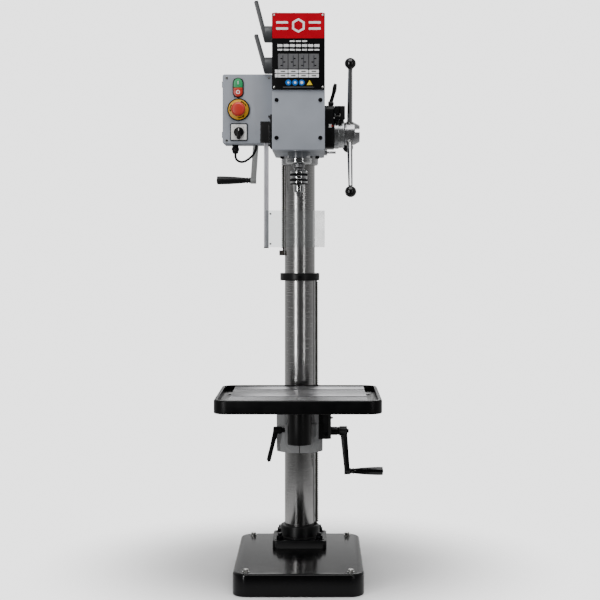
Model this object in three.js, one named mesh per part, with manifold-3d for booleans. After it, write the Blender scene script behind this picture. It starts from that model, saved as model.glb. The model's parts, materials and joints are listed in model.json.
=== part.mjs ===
// Floor standing geared-head pillar drill, in millimetres.
// The origin is where the column axis meets the floor: +Z is up, -Y is the operator's side.
import * as THREE from "three";
import { mergeVertices } from "three/addons/utils/BufferGeometryUtils.js";
import Module from "manifold-3d";

const wasm = await Module();
wasm.setup();

// ---- driving dimensions ----
const GAP = 0.3; // clearance between pieces that rest on each other
const BORE_PLAY = 0.3; // radial clearance of a sliding or turning fit

const BASE = { halfWidth: 170.5, front: -373, rear: 136, height: 60, corner: 40, edge: 6 };
const BASE_POCKET = { near: 14, far: 140, top: 42, rows: [[-345, -225], [-205, -90]] };
const FLANGE = { half: 75, corner: 12, top: 82, bossRadius: 57.5, bossTop: 116, studPitch: 55 };

const COLUMN_RADIUS = 42.5;
const COLUMN_WALL = 6.5;
const COLUMN_TOP = 1400;
const COLUMN_SIDES = 32;

const TOOTH_MODULE = 2;
const TOOTH_PITCH = Math.PI * TOOTH_MODULE;
const PINION_TEETH = 15;
const PINION_RADIUS = (TOOTH_MODULE * PINION_TEETH) / 2;
const RACK_TIP = 53; // from the column axis to the rack's tooth tips
const RACK_HALF_WIDTH = 6;
const RACK_COLLAR = { from: 802.5, to: 823.5, radius: 55.5 };
const HEAD_RACK = { from: 873, teethFrom: 889, to: 1392 };
const MESH_DISTANCE = RACK_TIP - TOOTH_MODULE + PINION_RADIUS + BORE_PLAY; // column axis to pinion axis

const WORM_OFFSET_Y = 22; // the worm wheel sits behind its pinion on one shaft
const WORM_DROP = 26; // worm axis below the pinion axis
const WORM_RADIUS = 7.4;
const WHEEL_TEETH = 18;
const WHEEL_MODULE = 1.9;
const WORM_PLAY = 1.2; // radial clearance of a worm in its housing
const CRANK_THROW = 114;
const CRANK_HUB_RADIUS = 14;
const CRANK_LEAN = 8; // how far a crank arm's grip end stands out past its hub end
const CRANK_GRIP_END = 236;
const TABLE_CRANK = { shaftEnd: 112, hubEnd: 134 };
const HEAD_CRANK = { shaftEnd: 114, hubEnd: 132 };
const PINION_POCKET = { front: -11, rear: WORM_OFFSET_Y + 11, half: 20 };

const TABLE = { halfWidth: 213, front: -457, rear: -72, bottom: 479.5, rim: 514.5, corner: 35 };
const TABLE_POCKET = { near: 20, far: 160, rows: [[-310, -193], [-438, -358]] };
const TABLE_RIM_WIDTH = 9;
const TABLE_WORK_HALF = 177;
const TABLE_SURFACE_DROP = 3;
const TROUGH_DEPTH = 13;
const T_SLOTS_Y = [-168, -335];
const T_SLOT = { neck: 14, foot: 24, neckDepth: 11, footDepth: 9 };

const SLEEVE = { half: 64.5, facet: 22.5, from: 324, to: 470 };
const TABLE_PINION_Z = 400;
const TILT_Z = 438;
const CLAMP = { y: -73, z: 389, bossHalfHeight: 17, hole: 6.5 };
const TILT_BOLT_RADIUS = 9.7;
const TABLE_HUB_RADIUS = 33;
const TABLE_HUB_BOTTOM = 353.5;
const TABLE_FRONT_FACE = -84.7; // where the sleeve's tilt boss meets the table's neck

const HEAD = { half: 69, front: -306.7, rear: 62, from: 1151, to: 1308 };
const HEAD_COLLAR = { drop: 24, radius: 52 };
const HEAD_CLAMP = { y: -52, z: 1161 };
const FRONT_COVER_FACE = -315;
const HEAD_PINION_Z = 1226;
const SPINDLE_Y = -240;
const QUILL = { radius: 30, from: 1122, to: 1326, travel: 110, bore: 14.4, sides: 28 };
const FEED_Y = SPINDLE_Y + QUILL.radius - TOOTH_MODULE + PINION_RADIUS + BORE_PLAY;
const FEED_Z = 1203;
const FEED_SHAFT_RADIUS = 8.4;
const DIAL = { from: 94.3, step: 107, to: 121, radius: 41, scaleRadius: 39, bore: 9.6 };
const STOP_BLOCK = { to: 123, front: -246, rear: -190, bottom: 1246, top: 1273, lip: 1236 };
const DEPTH_LOCK = { y: -215, z: 1281.4, hub: 5.8 };
const HANDLE = { x: 136, reach: 197, radius: 6.6, knob: 15, angles: [65.5, -54.5, 185.5] };

const GEARBOX = { front: -317.7, upperRear: -200, lowerRear: -56, step: 1380, top: 1500, wall: 7 };
const LID_HEIGHT = 8;
const SIGN_FRONT = -320;
const MOTOR_Y = -125;
const IDLER_Y = -182;
const LOWER_GEARS = { from: 1330, to: 1346, module: 3, pinion: 12, wheel: 26 };
const UPPER_GEARS = { from: 1352, to: 1368, module: 4, pinion: 9, wheel: 20 };
const SPEED_LEVERS = { y: -250, upperZ: 1461.6, lowerZ: 1378.8, hub: 22.3, upperReach: 88, lowerReach: 82 };

const PANEL = { left: -202, right: -69.6, front: -250, rear: -148, from: 1172, to: 1356 };
const TWIN_BUTTON = { x: -160.5, z: 1320, halfWidth: 14.5, halfHeight: 26.5, spacing: 12.5 };
const ESTOP = { x: -159.5, z: 1262, bore: 9, ringRadius: 30 };
const GLAND = { x: -170.6, y: -200 };
const CABLE_HOLE = { x: -115, y: -190, radius: 4.2 };
const SELECTOR = { x: -158.5, z: 1202.5, half: 23.5 };
const GUARD_RAIL = { from: 898, to: 1224, left: -90.4, right: -78, front: -306, rear: -294.8 };
const GUARD_HINGE = { left: -99.5, right: -74.3, front: -312, from: 1170, to: 1226 };
const SHIELD = { left: -85, bend: 38, right: 69, from: 898, to: 994, thickness: 3.4 };

// ---- colours ----
const paint = (color, roughness = 0.4, metalness = 0.1) => ({ color, roughness, metalness });
const BLUE_GREY = paint(0xbfc5cc);
const BLACK_PAINT = paint(0x1c1d20, 0.3);
const BLACK_PLASTIC = paint(0x17181a, 0.5, 0);
const STEEL = paint(0xa9a7a4, 0.35, 0.9);
const CHROME = paint(0xd8dadd, 0.12, 1);
const LIGHT_GREY = paint(0xc9cacb, 0.5, 0.2);
const GEAR_STEEL = paint(0x77787a, 0.45, 0.8);
const ALUMINIUM = paint(0xd5d7da, 0.4, 0.8);
const YELLOW = paint(0xf0cf1a, 0.45, 0);
const RED = paint(0xc8201c, 0.35, 0);
const GREEN = paint(0x2aa05a, 0.4, 0);
const WHITE = paint(0xeeeeec, 0.5, 0);
const DARK_GREY = paint(0x3c3e42, 0.5, 0.3);

// ---- solids ----
function solid(geometry) {
  const bare = geometry.clone();
  bare.deleteAttribute("normal");
  bare.deleteAttribute("uv");
  const merged = mergeVertices(bare, 1e-4);
  const vertProperties = merged.attributes.position.array;
  const triVerts = new Uint32Array(merged.index.array);
  const made = new wasm.Manifold(new wasm.Mesh({ numProp: 3, vertProperties, triVerts }));
  if (made.volume() > 0) return made;
  return new wasm.Manifold(
    new wasm.Mesh({ numProp: 3, vertProperties, triVerts: triVerts.slice().reverse() }),
  );
}

const join = (first, ...others) => others.reduce((all, one) => all.add(one), first);
const cut = (first, ...tools) => tools.reduce((all, one) => all.subtract(one), first);

function box(x0, x1, y0, y1, z0, z1) {
  const geometry = new THREE.BoxGeometry(x1 - x0, y1 - y0, z1 - z0);
  return solid(geometry.translate((x0 + x1) / 2, (y0 + y1) / 2, (z0 + z1) / 2));
}

// Turns a geometry made along +Z so that it runs along the named axis, with its outline's
// u and v along the other two axes: (y, z) for x, (x, z) for y, (x, y) for z.
function alongAxis(geometry, axis) {
  const turn = new THREE.Matrix4();
  if (axis === "x") turn.makeBasis(unit(0, 1, 0), unit(0, 0, 1), unit(1, 0, 0));
  if (axis === "y") turn.makeBasis(unit(1, 0, 0), unit(0, 0, 1), unit(0, -1, 0));
  return geometry.applyMatrix4(turn);
}

const unit = (x, y, z) => new THREE.Vector3(x, y, z);

// An outline swept along an axis from one coordinate to another, with an optional rounded edge.
function sweep(shape, axis, from, to, edge = 0) {
  const start = axis === "y" ? -to : from;
  const geometry = new THREE.ExtrudeGeometry(shape, {
    depth: to - from - 2 * edge,
    bevelEnabled: edge > 0,
    bevelThickness: edge,
    bevelSize: edge,
    bevelOffset: -edge,
    bevelSegments: 1,
    curveSegments: 4,
  });
  return solid(alongAxis(geometry.translate(0, 0, start + edge), axis));
}

// A body of revolution: profile points are [radius, position along the axis].
function turned(axis, profile, u, v, segments = 24) {
  const points = profile.map(([radius, along]) => new THREE.Vector2(radius, along));
  const geometry = new THREE.LatheGeometry(points, segments);
  geometry.rotateX(Math.PI / 2); // the lathe's axis is now +Z
  if (axis === "y") geometry.rotateX(Math.PI); // alongAxis turns +Z to -Y
  alongAxis(geometry, axis);
  const place = { x: [0, u, v], y: [u, 0, v], z: [u, v, 0] }[axis];
  return solid(geometry.translate(...place));
}

function rod(axis, radius, from, to, u, v, segments = 16) {
  return turned(axis, [[0, from], [radius, from], [radius, to], [0, to]], u, v, segments);
}

function ring(axis, inner, outer, from, to, u, v, segments = 24) {
  const profile = [[inner, from], [outer, from], [outer, to], [inner, to], [inner, from]];
  return turned(axis, profile, u, v, segments);
}

function roundedRect(u0, u1, v0, v1, radius) {
  const shape = new THREE.Shape();
  shape.moveTo(u0 + radius, v0);
  shape.lineTo(u1 - radius, v0);
  shape.absarc(u1 - radius, v0 + radius, radius, -Math.PI / 2, 0);
  shape.lineTo(u1, v1 - radius);
  shape.absarc(u1 - radius, v1 - radius, radius, 0, Math.PI / 2);
  shape.lineTo(u0 + radius, v1);
  shape.absarc(u0 + radius, v1 - radius, radius, Math.PI / 2, Math.PI);
  shape.lineTo(u0, v0 + radius);
  shape.absarc(u0 + radius, v0 + radius, radius, Math.PI, 1.5 * Math.PI);
  return shape;
}

const polygon = (points) => new THREE.Shape(points.map(([u, v]) => new THREE.Vector2(u, v)));

// A spur gear outline with pointed teeth, thinned for backlash; shift is in tooth pitches.
function gearShape(teeth, module, shift = 0) {
  const pitchRadius = (teeth * module) / 2;
  const step = (2 * Math.PI) / teeth;
  const points = [];
  for (let i = 0; i < teeth; i += 1) {
    const middle = (i + shift) * step;
    const corners = [
      [pitchRadius - 1.2 * module, middle - 0.3 * step],
      [pitchRadius + 0.8 * module, middle],
      [pitchRadius - 1.2 * module, middle + 0.3 * step],
    ];
    for (const [radius, angle] of corners) {
      points.push([radius * Math.cos(angle), radius * Math.sin(angle)]);
    }
  }
  return polygon(points);
}

function gear(axis, teeth, module, from, to, u, v, shift = 0) {
  const place = { x: [0, u, v], y: [u, 0, v], z: [u, v, 0] }[axis];
  return sweep(gearShape(teeth, module, shift), axis, from, to).translate(place);
}

// A rack bar on the column; side is +1 for the right of the column, -1 for the left.
function rackBar(side, from, teethFrom, to, toothAt) {
  const root = RACK_TIP - 2.1 * TOOTH_MODULE;
  const back = COLUMN_RADIUS + GAP;
  const points = [[side * back, from], [side * root, from]];
  const first = Math.ceil((teethFrom - toothAt) / TOOTH_PITCH + 0.5);
  const last = Math.floor((to - toothAt) / TOOTH_PITCH - 0.5);
  for (let i = first; i <= last; i += 1) {
    const z = toothAt + i * TOOTH_PITCH;
    points.push([side * root, z - TOOTH_PITCH / 2], [side * RACK_TIP, z]);
  }
  points.push([side * root, toothAt + (last + 0.5) * TOOTH_PITCH], [side * root, to], [side * back, to]);
  return sweep(polygon(points), "y", -RACK_HALF_WIDTH, RACK_HALF_WIDTH);
}

// ---- the scene graph ----
const part = new THREE.Group();
part.name = "pillar_drill";

function addTo(group, name, made, look) {
  const mesh = made.getMesh();
  const geometry = new THREE.BufferGeometry();
  geometry.setAttribute("position", new THREE.BufferAttribute(mesh.vertProperties, 3));
  geometry.setIndex(new THREE.BufferAttribute(mesh.triVerts, 1));
  geometry.computeVertexNormals();
  const piece = new THREE.Mesh(geometry, new THREE.MeshStandardMaterial(look));
  piece.name = name;
  group.add(piece);
}

function subassembly(name) {
  const group = new THREE.Group();
  group.name = name;
  part.add(group);
  return group;
}

// A stretch out from the middle on one side: side is +1 for the right, -1 for the left.
function span(side, from, to) {
  return side > 0 ? [from, to] : [-to, -from];
}

// ---- stand: base, flange, column and the fixed rack ----
function corners(half) {
  return [[-half, -half], [half, -half], [half, half], [-half, half]];
}

function buildStand() {
  const stand = subassembly("stand");
  const { halfWidth, front, rear, height, corner, edge } = BASE;
  const plate = sweep(roundedRect(-halfWidth, halfWidth, front, rear, corner), "z", 0, height, edge);
  const pockets = [];
  for (const side of [-1, 1]) {
    const [x0, x1] = span(side, BASE_POCKET.near, BASE_POCKET.far);
    for (const [y0, y1] of BASE_POCKET.rows) pockets.push(box(x0, x1, y0, y1, -1, BASE_POCKET.top));
  }
  const studHoles = corners(FLANGE.studPitch).map(([x, y]) => rod("z", 6.5, 30, 61, x, y, 12));
  addTo(stand, "base", cut(plate, ...pockets, ...studHoles), BLACK_PAINT);

  const { half, top, bossRadius, bossTop } = FLANGE;
  const foot = sweep(roundedRect(-half, half, -half, half, FLANGE.corner), "z", height + GAP, top);
  const boss = turned("z", [[0, top - 1], [bossRadius, top - 1], [bossRadius, bossTop - 6],
    [bossRadius - 6, bossTop], [0, bossTop]], 0, 0);
  const bore = rod("z", COLUMN_RADIUS + BORE_PLAY, height, bossTop + 1, 0, 0, COLUMN_SIDES);
  const clearances = corners(FLANGE.studPitch).map(([x, y]) => rod("z", 6.8, 50, 90, x, y, 12));
  addTo(stand, "column_flange", cut(join(foot, boss), bore, ...clearances), BLACK_PAINT);

  const columnInside = COLUMN_RADIUS - COLUMN_WALL;
  const tube = ring("z", columnInside, COLUMN_RADIUS, height + GAP, COLUMN_TOP, 0, 0, COLUMN_SIDES);
  addTo(stand, "column", tube, STEEL);
  const capBore = columnInside - BORE_PLAY;
  addTo(stand, "column_cap", turned("z", [[0, COLUMN_TOP - 14], [capBore, COLUMN_TOP - 14],
    [capBore, COLUMN_TOP + GAP], [COLUMN_RADIUS, COLUMN_TOP + GAP], [COLUMN_RADIUS - 2, COLUMN_TOP + 5],
    [0, COLUMN_TOP + 5]], 0, 0), BLACK_PLASTIC);

  const { from, to, radius } = RACK_COLLAR;
  const inner = COLUMN_RADIUS + BORE_PLAY;
  addTo(stand, "rack_collar", turned("z", [[inner, from], [radius - 2, from], [radius, from + 2],
    [radius, to - 2], [radius - 2, to], [inner, to], [inner, from]], 0, 0, COLUMN_SIDES), BLACK_PAINT);

  const stopBlock = box(-58, -COLUMN_RADIUS - GAP, -9, 9, HEAD_RACK.from, HEAD_RACK.from + 14);
  const gapAtPinion = HEAD_PINION_Z - TOOTH_PITCH / 2;
  const headRack = rackBar(-1, HEAD_RACK.from, HEAD_RACK.teethFrom, HEAD_RACK.to, gapAtPinion);
  addTo(stand, "head_rack", join(headRack, stopBlock), STEEL);
}

// ---- a worm drive and crank that climbs a rack; side is +1 right, -1 left ----
function pinionWithWheel(side, z) {
  const x = side * MESH_DISTANCE;
  const pinion = gear("y", PINION_TEETH, TOOTH_MODULE, -7, 7, x, z); // a tooth faces right, a gap faces left
  const wheel = gear("y", WHEEL_TEETH, WHEEL_MODULE, WORM_OFFSET_Y - 8, WORM_OFFSET_Y + 8, x, z);
  return join(pinion, wheel, rod("y", 6, -9.5, WORM_OFFSET_Y + 9.5, x, z));
}

function pocketForPinion(side, inner, z) {
  const { front, rear, half } = PINION_POCKET;
  return box(...span(side, inner, 70), front, rear, z - half, z + half);
}

function wormHousing(side, outline, innerX, z, from, to) {
  const body = sweep(polygon(outline.map(([x, y]) => [side * x, y])), "z", from, to);
  const cavity = rod("y", 19.6, -11, WORM_OFFSET_Y + 11, side * MESH_DISTANCE, z);
  const wormReach = span(side, innerX - 6, 120);
  const wormBore = rod("x", WORM_RADIUS + WORM_PLAY, ...wormReach, WORM_OFFSET_Y, z - WORM_DROP);
  return cut(body, cavity, wormBore);
}

function wormShaft(side, inner, face, outer, z) {
  const worm = rod("x", WORM_RADIUS, ...span(side, inner, face + 4), WORM_OFFSET_Y, z);
  return join(worm, rod("x", 12, ...span(side, face + GAP, outer), WORM_OFFSET_Y, z));
}

function crankArm(side, inner, outer, z) {
  const bottom = z - CRANK_THROW;
  const tip = outer + CRANK_LEAN;
  const outline = [[inner + 2, z], [inner + 3, z - 12], [tip - 15.5, bottom], [tip, bottom], [outer, z]];
  const mirrored = polygon(outline.map(([x, v]) => [side * x, v]));
  const arm = sweep(mirrored, "y", WORM_OFFSET_Y - 9, WORM_OFFSET_Y + 9);
  const hub = rod("x", CRANK_HUB_RADIUS, ...span(side, inner, outer), WORM_OFFSET_Y, z);
  return join(arm, hub, rod("x", 10, ...span(side, tip - 16, tip), WORM_OFFSET_Y, bottom));
}

function crankGrip(side, from, to, z) {
  const grip = [[0, from], [6.5, from], [6.5, from + 8], [8, from + 9], [9.4, from + 30], [11.2, to - 36],
    [11.8, to - 8], [11.4, to - 1.5], [10, to], [0, to]];
  const profile = side > 0 ? grip : grip.map(([radius, along]) => [radius, -along]).reverse();
  return turned("x", profile, WORM_OFFSET_Y, z, 20);
}

// ---- table: rack, carriage, tilting top and the height crank ----
function octagon(half, facet) {
  const short = half - facet;
  return polygon([[half, -short], [half, short], [short, half], [-short, half],
    [-half, short], [-half, -short], [-short, -half], [short, -half]]);
}

function buildCarriage(carriage) {
  const { half, facet, from, to } = SLEEVE;
  const block = sweep(octagon(half, facet), "z", from, to);
  // a cone slices the lower ends of the vertical edges into pointed facets
  const edgeRadius = Math.hypot(half, half - facet) + 1;
  const taper = turned("z", [[0, from], [edgeRadius - 10, from], [edgeRadius, from + 30],
    [edgeRadius, to], [0, to]], 0, 0);
  const clampBoss = box(-40, 50, -84, -60, CLAMP.z - CLAMP.bossHalfHeight, CLAMP.z + CLAMP.bossHalfHeight);
  const tiltBoss = rod("y", 27, TABLE_FRONT_FACE, -60, 0, TILT_Z);
  const sleeve = join(block.intersect(taper), clampBoss, tiltBoss);
  const rackSlot = box(38, RACK_TIP + 1, -RACK_HALF_WIDTH - 0.6, RACK_HALF_WIDTH + 0.6, from - 1, to + 1);
  const pinionPocket = pocketForPinion(1, 44, TABLE_PINION_Z);
  const slit = box(-1.2, 1.2, -90, -38, from - 1, to + 1);
  const bore = rod("z", COLUMN_RADIUS + BORE_PLAY, from - 1, to + 1, 0, 0, COLUMN_SIDES);
  const clampHole = rod("x", CLAMP.hole, -52, 52, CLAMP.y, CLAMP.z, 16);
  const tiltHole = rod("y", TILT_BOLT_RADIUS + BORE_PLAY, -90, -40, 0, TILT_Z);
  const made = cut(sleeve, bore, rackSlot, pinionPocket, slit, clampHole, tiltHole);
  addTo(carriage, "table_sleeve", made, LIGHT_GREY);

  const inner = half + GAP + 0.1;
  const outline = [[inner, 42], [inner, -41.8], [53, -53.6], [80, -54], [88, -46], [88, 34], [80, 42]];
  const housing = wormHousing(1, outline, inner, TABLE_PINION_Z, 361, 460);
  addTo(carriage, "table_worm_housing", housing, BLACK_PAINT);
}

function buildTableTop(tilting) {
  const { halfWidth, front, rear, bottom, rim, corner } = TABLE;
  const blank = sweep(roundedRect(-halfWidth, halfWidth, front, rear, corner), "z", bottom, rim, 3);
  const surface = rim - TABLE_SURFACE_DROP;
  const w = TABLE_RIM_WIDTH;
  const well = roundedRect(-halfWidth + w, halfWidth - w, front + w, rear - w, corner - w);
  const workBlock = box(-TABLE_WORK_HALF, TABLE_WORK_HALF, front, rear, surface - 14, surface);
  const cuts = [cut(sweep(well, "z", surface - TROUGH_DEPTH, rim + 1), workBlock)];
  for (const side of [-1, 1]) {
    const [x0, x1] = span(side, TABLE_POCKET.near, TABLE_POCKET.far);
    for (const [y0, y1] of TABLE_POCKET.rows) cuts.push(box(x0, x1, y0, y1, bottom - 1, surface - 15));
  }
  for (const y of T_SLOTS_Y) {
    const x = TABLE_WORK_HALF + 14; // the slots run out into the troughs
    const neckFloor = surface - T_SLOT.neckDepth;
    cuts.push(box(-x, x, y - T_SLOT.neck / 2, y + T_SLOT.neck / 2, neckFloor - 1, rim + 1));
    cuts.push(box(-x, x, y - T_SLOT.foot / 2, y + T_SLOT.foot / 2, neckFloor - T_SLOT.footDepth, neckFloor));
  }
  addTo(tilting, "table_top", cut(blank, ...cuts), STEEL);

  const neck = new THREE.Shape();
  const back = TABLE_FRONT_FACE - GAP;
  const arcCentre = back - 14;
  neck.moveTo(TABLE_HUB_RADIUS, back);
  neck.lineTo(-TABLE_HUB_RADIUS, back);
  neck.lineTo(-TABLE_HUB_RADIUS, arcCentre);
  neck.absarc(0, arcCentre, TABLE_HUB_RADIUS, Math.PI, 2 * Math.PI);
  const boltBore = rod("y", TILT_BOLT_RADIUS + BORE_PLAY, -110, -84, 0, TILT_Z);
  addTo(tilting, "table_neck", cut(sweep(neck, "z", TABLE_HUB_BOTTOM, bottom - GAP), boltBore), BLACK_PAINT);
  addTo(tilting, "tilt_bolt", rod("y", TILT_BOLT_RADIUS, -109, -46, 0, TILT_Z), GEAR_STEEL);
}

function buildTableControls(carriage) {
  const z = TABLE_PINION_Z - WORM_DROP;
  addTo(carriage, "table_pinion", pinionWithWheel(1, TABLE_PINION_Z), GEAR_STEEL);
  addTo(carriage, "table_worm_shaft", wormShaft(1, 67, 88, TABLE_CRANK.shaftEnd, z), BLACK_PAINT);
  const arm = crankArm(1, TABLE_CRANK.shaftEnd + GAP, TABLE_CRANK.hubEnd, z);
  addTo(carriage, "table_crank_arm", arm, BLACK_PAINT);
  const gripFrom = TABLE_CRANK.hubEnd + CRANK_LEAN + GAP;
  addTo(carriage, "table_crank_grip", crankGrip(1, gripFrom, CRANK_GRIP_END, z - CRANK_THROW), BLACK_PLASTIC);

  const screw = rod("x", 6, -60, 48, CLAMP.y, CLAMP.z, 16);
  const hub = turned("x", [[0, -73], [8, -73], [10.4, -70], [10.4, -52], [8, -48], [0, -48]],
    CLAMP.y, CLAMP.z, 20);
  const lever = sweep(polygon([[-73, CLAMP.z + 4], [-74, CLAMP.z - 6], [-82, 345], [-88.5, 320], [-91, 308],
    [-87, 301], [-80, 303], [-77.5, 313], [-68.5, 350], [-58, CLAMP.z - 2]]), "y", CLAMP.y - 5, CLAMP.y + 5);
  addTo(carriage, "table_clamp_lever", join(hub, lever, screw), BLACK_PAINT);
}

function buildTable() {
  const table = subassembly("table");
  const toothAt = TABLE_PINION_Z;
  const rack = rackBar(1, FLANGE.bossTop + GAP, FLANGE.bossTop + 4, RACK_COLLAR.from - GAP, toothAt);
  addTo(table, "table_rack", rack, STEEL);
  buildCarriage(table);
  buildTableTop(table);
  buildTableControls(table);
}

// ---- head: casting, gearbox, motor and covers ----
function headOutline() {
  const { half, front, rear } = HEAD;
  const corner = 30;
  const shape = new THREE.Shape();
  shape.moveTo(-half, front);
  shape.lineTo(half, front);
  shape.lineTo(half, rear - corner);
  shape.absarc(half - corner, rear - corner, corner, 0, Math.PI / 2);
  shape.lineTo(-half + corner, rear);
  shape.absarc(-half + corner, rear - corner, corner, Math.PI / 2, Math.PI);
  return shape;
}

function buildHeadCasting(head) {
  const { half, from, to } = HEAD;
  const block = sweep(headOutline(), "z", from, to);
  const { drop, radius } = HEAD_COLLAR;
  const collar = turned("z", [[0, from - drop], [radius - 3, from - drop], [radius, from - drop + 4],
    [radius, from + 1], [0, from + 1]], 0, 0);
  const below = from - drop - 6;
  const columnBore = rod("z", COLUMN_RADIUS + BORE_PLAY, below, to + 1, 0, 0, COLUMN_SIDES);
  const rackSlot = box(-RACK_TIP - 1, -38, -RACK_HALF_WIDTH - 0.6, RACK_HALF_WIDTH + 0.6, below, to + 1);
  const pinionPocket = pocketForPinion(-1, 44, HEAD_PINION_Z);
  const quillBore = rod("z", QUILL.radius + BORE_PLAY, from - 1, to + 1, 0, SPINDLE_Y, QUILL.sides);
  const feedBore = rod("x", PINION_RADIUS + 2.6, -12, half + 1, FEED_Y, FEED_Z);
  const hollow = box(-56, 56, -165, -58, from + 12, to + 1);
  const clampHole = rod("x", 4.6, 40, half + 1, HEAD_CLAMP.y, HEAD_CLAMP.z, 12);
  const bores = [columnBore, rackSlot, pinionPocket, quillBore, feedBore, hollow, clampHole];
  addTo(head, "head_casting", cut(join(block, collar), ...bores), BLUE_GREY);

  const cover = box(-half, half, FRONT_COVER_FACE, HEAD.front - GAP, from, to - GAP);
  addTo(head, "front_cover", cover, BLUE_GREY);
}

function buildGearbox(head) {
  const { front, upperRear, lowerRear, step, top, wall } = GEARBOX;
  const half = HEAD.half;
  const floor = HEAD.to + GAP;
  const shell = sweep(polygon([[front, floor], [lowerRear, floor], [lowerRear, step], [upperRear, step],
    [upperRear, top], [front, top]]), "x", -half, half);
  const hollow = sweep(polygon([[front + wall, floor - 1], [lowerRear - wall, floor - 1],
    [lowerRear - wall, step - wall], [upperRear - wall, step - wall], [upperRear - wall, top - wall],
    [front + wall, top - wall]]), "x", -half + wall, half - wall);
  const motorHole = rod("z", 22, step - wall - 1, step + 1, 0, MOTOR_Y);
  const leverHoles = [SPEED_LEVERS.upperZ, SPEED_LEVERS.lowerZ].map((z) =>
    rod("x", 6.4, -half - 1, -half + wall + 1, SPEED_LEVERS.y, z, 16));
  addTo(head, "gearbox_housing", cut(shell, hollow, motorHole, ...leverHoles), BLUE_GREY);

  const lid = box(-half, half, front, upperRear, top + GAP, top + LID_HEIGHT);
  addTo(head, "gearbox_lid", lid, BLUE_GREY);
  addTo(head, "sign_plate", box(-half, half, SIGN_FRONT, front - GAP, floor, top + LID_HEIGHT), BLACK_PAINT);

  const stator = turned("z", [[9, step + GAP], [60, step + GAP], [60, step + 8], [66, step + 12],
    [66, step + 118], [63, step + 120], [63, step + 142], [58, step + 146], [0, step + 146],
    [0, step + 40], [9, step + 40], [9, step + GAP]], 0, MOTOR_Y);
  addTo(head, "motor", stator, BLUE_GREY);
}

function buildGearTrain(head) {
  const lower = [LOWER_GEARS.from, LOWER_GEARS.to];
  const upper = [UPPER_GEARS.from, UPPER_GEARS.to];
  const motorShaft = rod("z", 8, LOWER_GEARS.from - 4, GEARBOX.step + 38, 0, MOTOR_Y);
  const motorGear = gear("z", LOWER_GEARS.pinion, LOWER_GEARS.module, ...lower, 0, MOTOR_Y);
  addTo(head, "motor_pinion", join(motorGear, motorShaft), GEAR_STEEL);
  const idlerShaft = rod("z", 7, HEAD.to + 0.6, UPPER_GEARS.to + 3, 0, IDLER_Y);
  const idler = join(gear("z", LOWER_GEARS.wheel, LOWER_GEARS.module, ...lower, 0, IDLER_Y),
    gear("z", UPPER_GEARS.pinion, UPPER_GEARS.module, ...upper, 0, IDLER_Y, 0.25), idlerShaft);
  addTo(head, "idler_gear", idler, GEAR_STEEL);
  const spindleGear = cut(gear("z", UPPER_GEARS.wheel, UPPER_GEARS.module, ...upper, 0, SPINDLE_Y),
    rod("z", QUILL.bore + GAP, upper[0] - 1, upper[1] + 1, 0, SPINDLE_Y));
  addTo(head, "spindle_gear", spindleGear, GEAR_STEEL);
}

// A shift lever on the left wall: a shaft, a round hub and an arm that leans outwards.
function speedLever(z, reach) {
  const face = -HEAD.half - GAP;
  const { y, hub: radius } = SPEED_LEVERS;
  const axle = rod("x", 6, face - 2, -55, y, z, 16);
  const hub = turned("x", [[0, -92], [radius - 3, -92], [radius, -89], [radius, face], [0, face]], y, z, 24);
  const blade = polygon([[-80, z], [-84, z - 17], [-92, z - 18], [-118.5, z + reach - 4], [-116, z + reach],
    [-108, z + reach + 0.5], [-106.5, z + reach - 3], [-89, z + 18], [-84, z + 18]]);
  const arm = sweep(blade, "y", y - 8, y + 8);
  return join(axle, hub, arm);
}

function buildHeadDrive(head) {
  const z = HEAD_PINION_Z - WORM_DROP;
  const inner = HEAD.half + GAP;
  const outline = [[inner, -30], [inner, 42], [98, 42], [106, 34], [106, -22], [98, -30]];
  addTo(head, "head_worm_housing", wormHousing(-1, outline, inner, HEAD_PINION_Z, 1184, 1260), BLUE_GREY);
  addTo(head, "head_pinion", pinionWithWheel(-1, HEAD_PINION_Z), GEAR_STEEL);
  addTo(head, "head_worm_shaft", wormShaft(-1, 70, 106, HEAD_CRANK.shaftEnd, z), DARK_GREY);
  addTo(head, "head_crank_arm", crankArm(-1, HEAD_CRANK.shaftEnd + GAP, HEAD_CRANK.hubEnd, z), ALUMINIUM);
  const gripFrom = HEAD_CRANK.hubEnd + CRANK_LEAN + GAP;
  addTo(head, "head_crank_grip", crankGrip(-1, gripFrom, CRANK_GRIP_END, z - CRANK_THROW), BLACK_PLASTIC);

  const screw = rod("x", 4, 46, 101, HEAD_CLAMP.y, HEAD_CLAMP.z, 12);
  const nut = rod("x", 9, inner, HEAD.half + 8, HEAD_CLAMP.y, HEAD_CLAMP.z, 6);
  addTo(head, "head_clamp_lever", join(screw, nut), STEEL);
}

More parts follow.
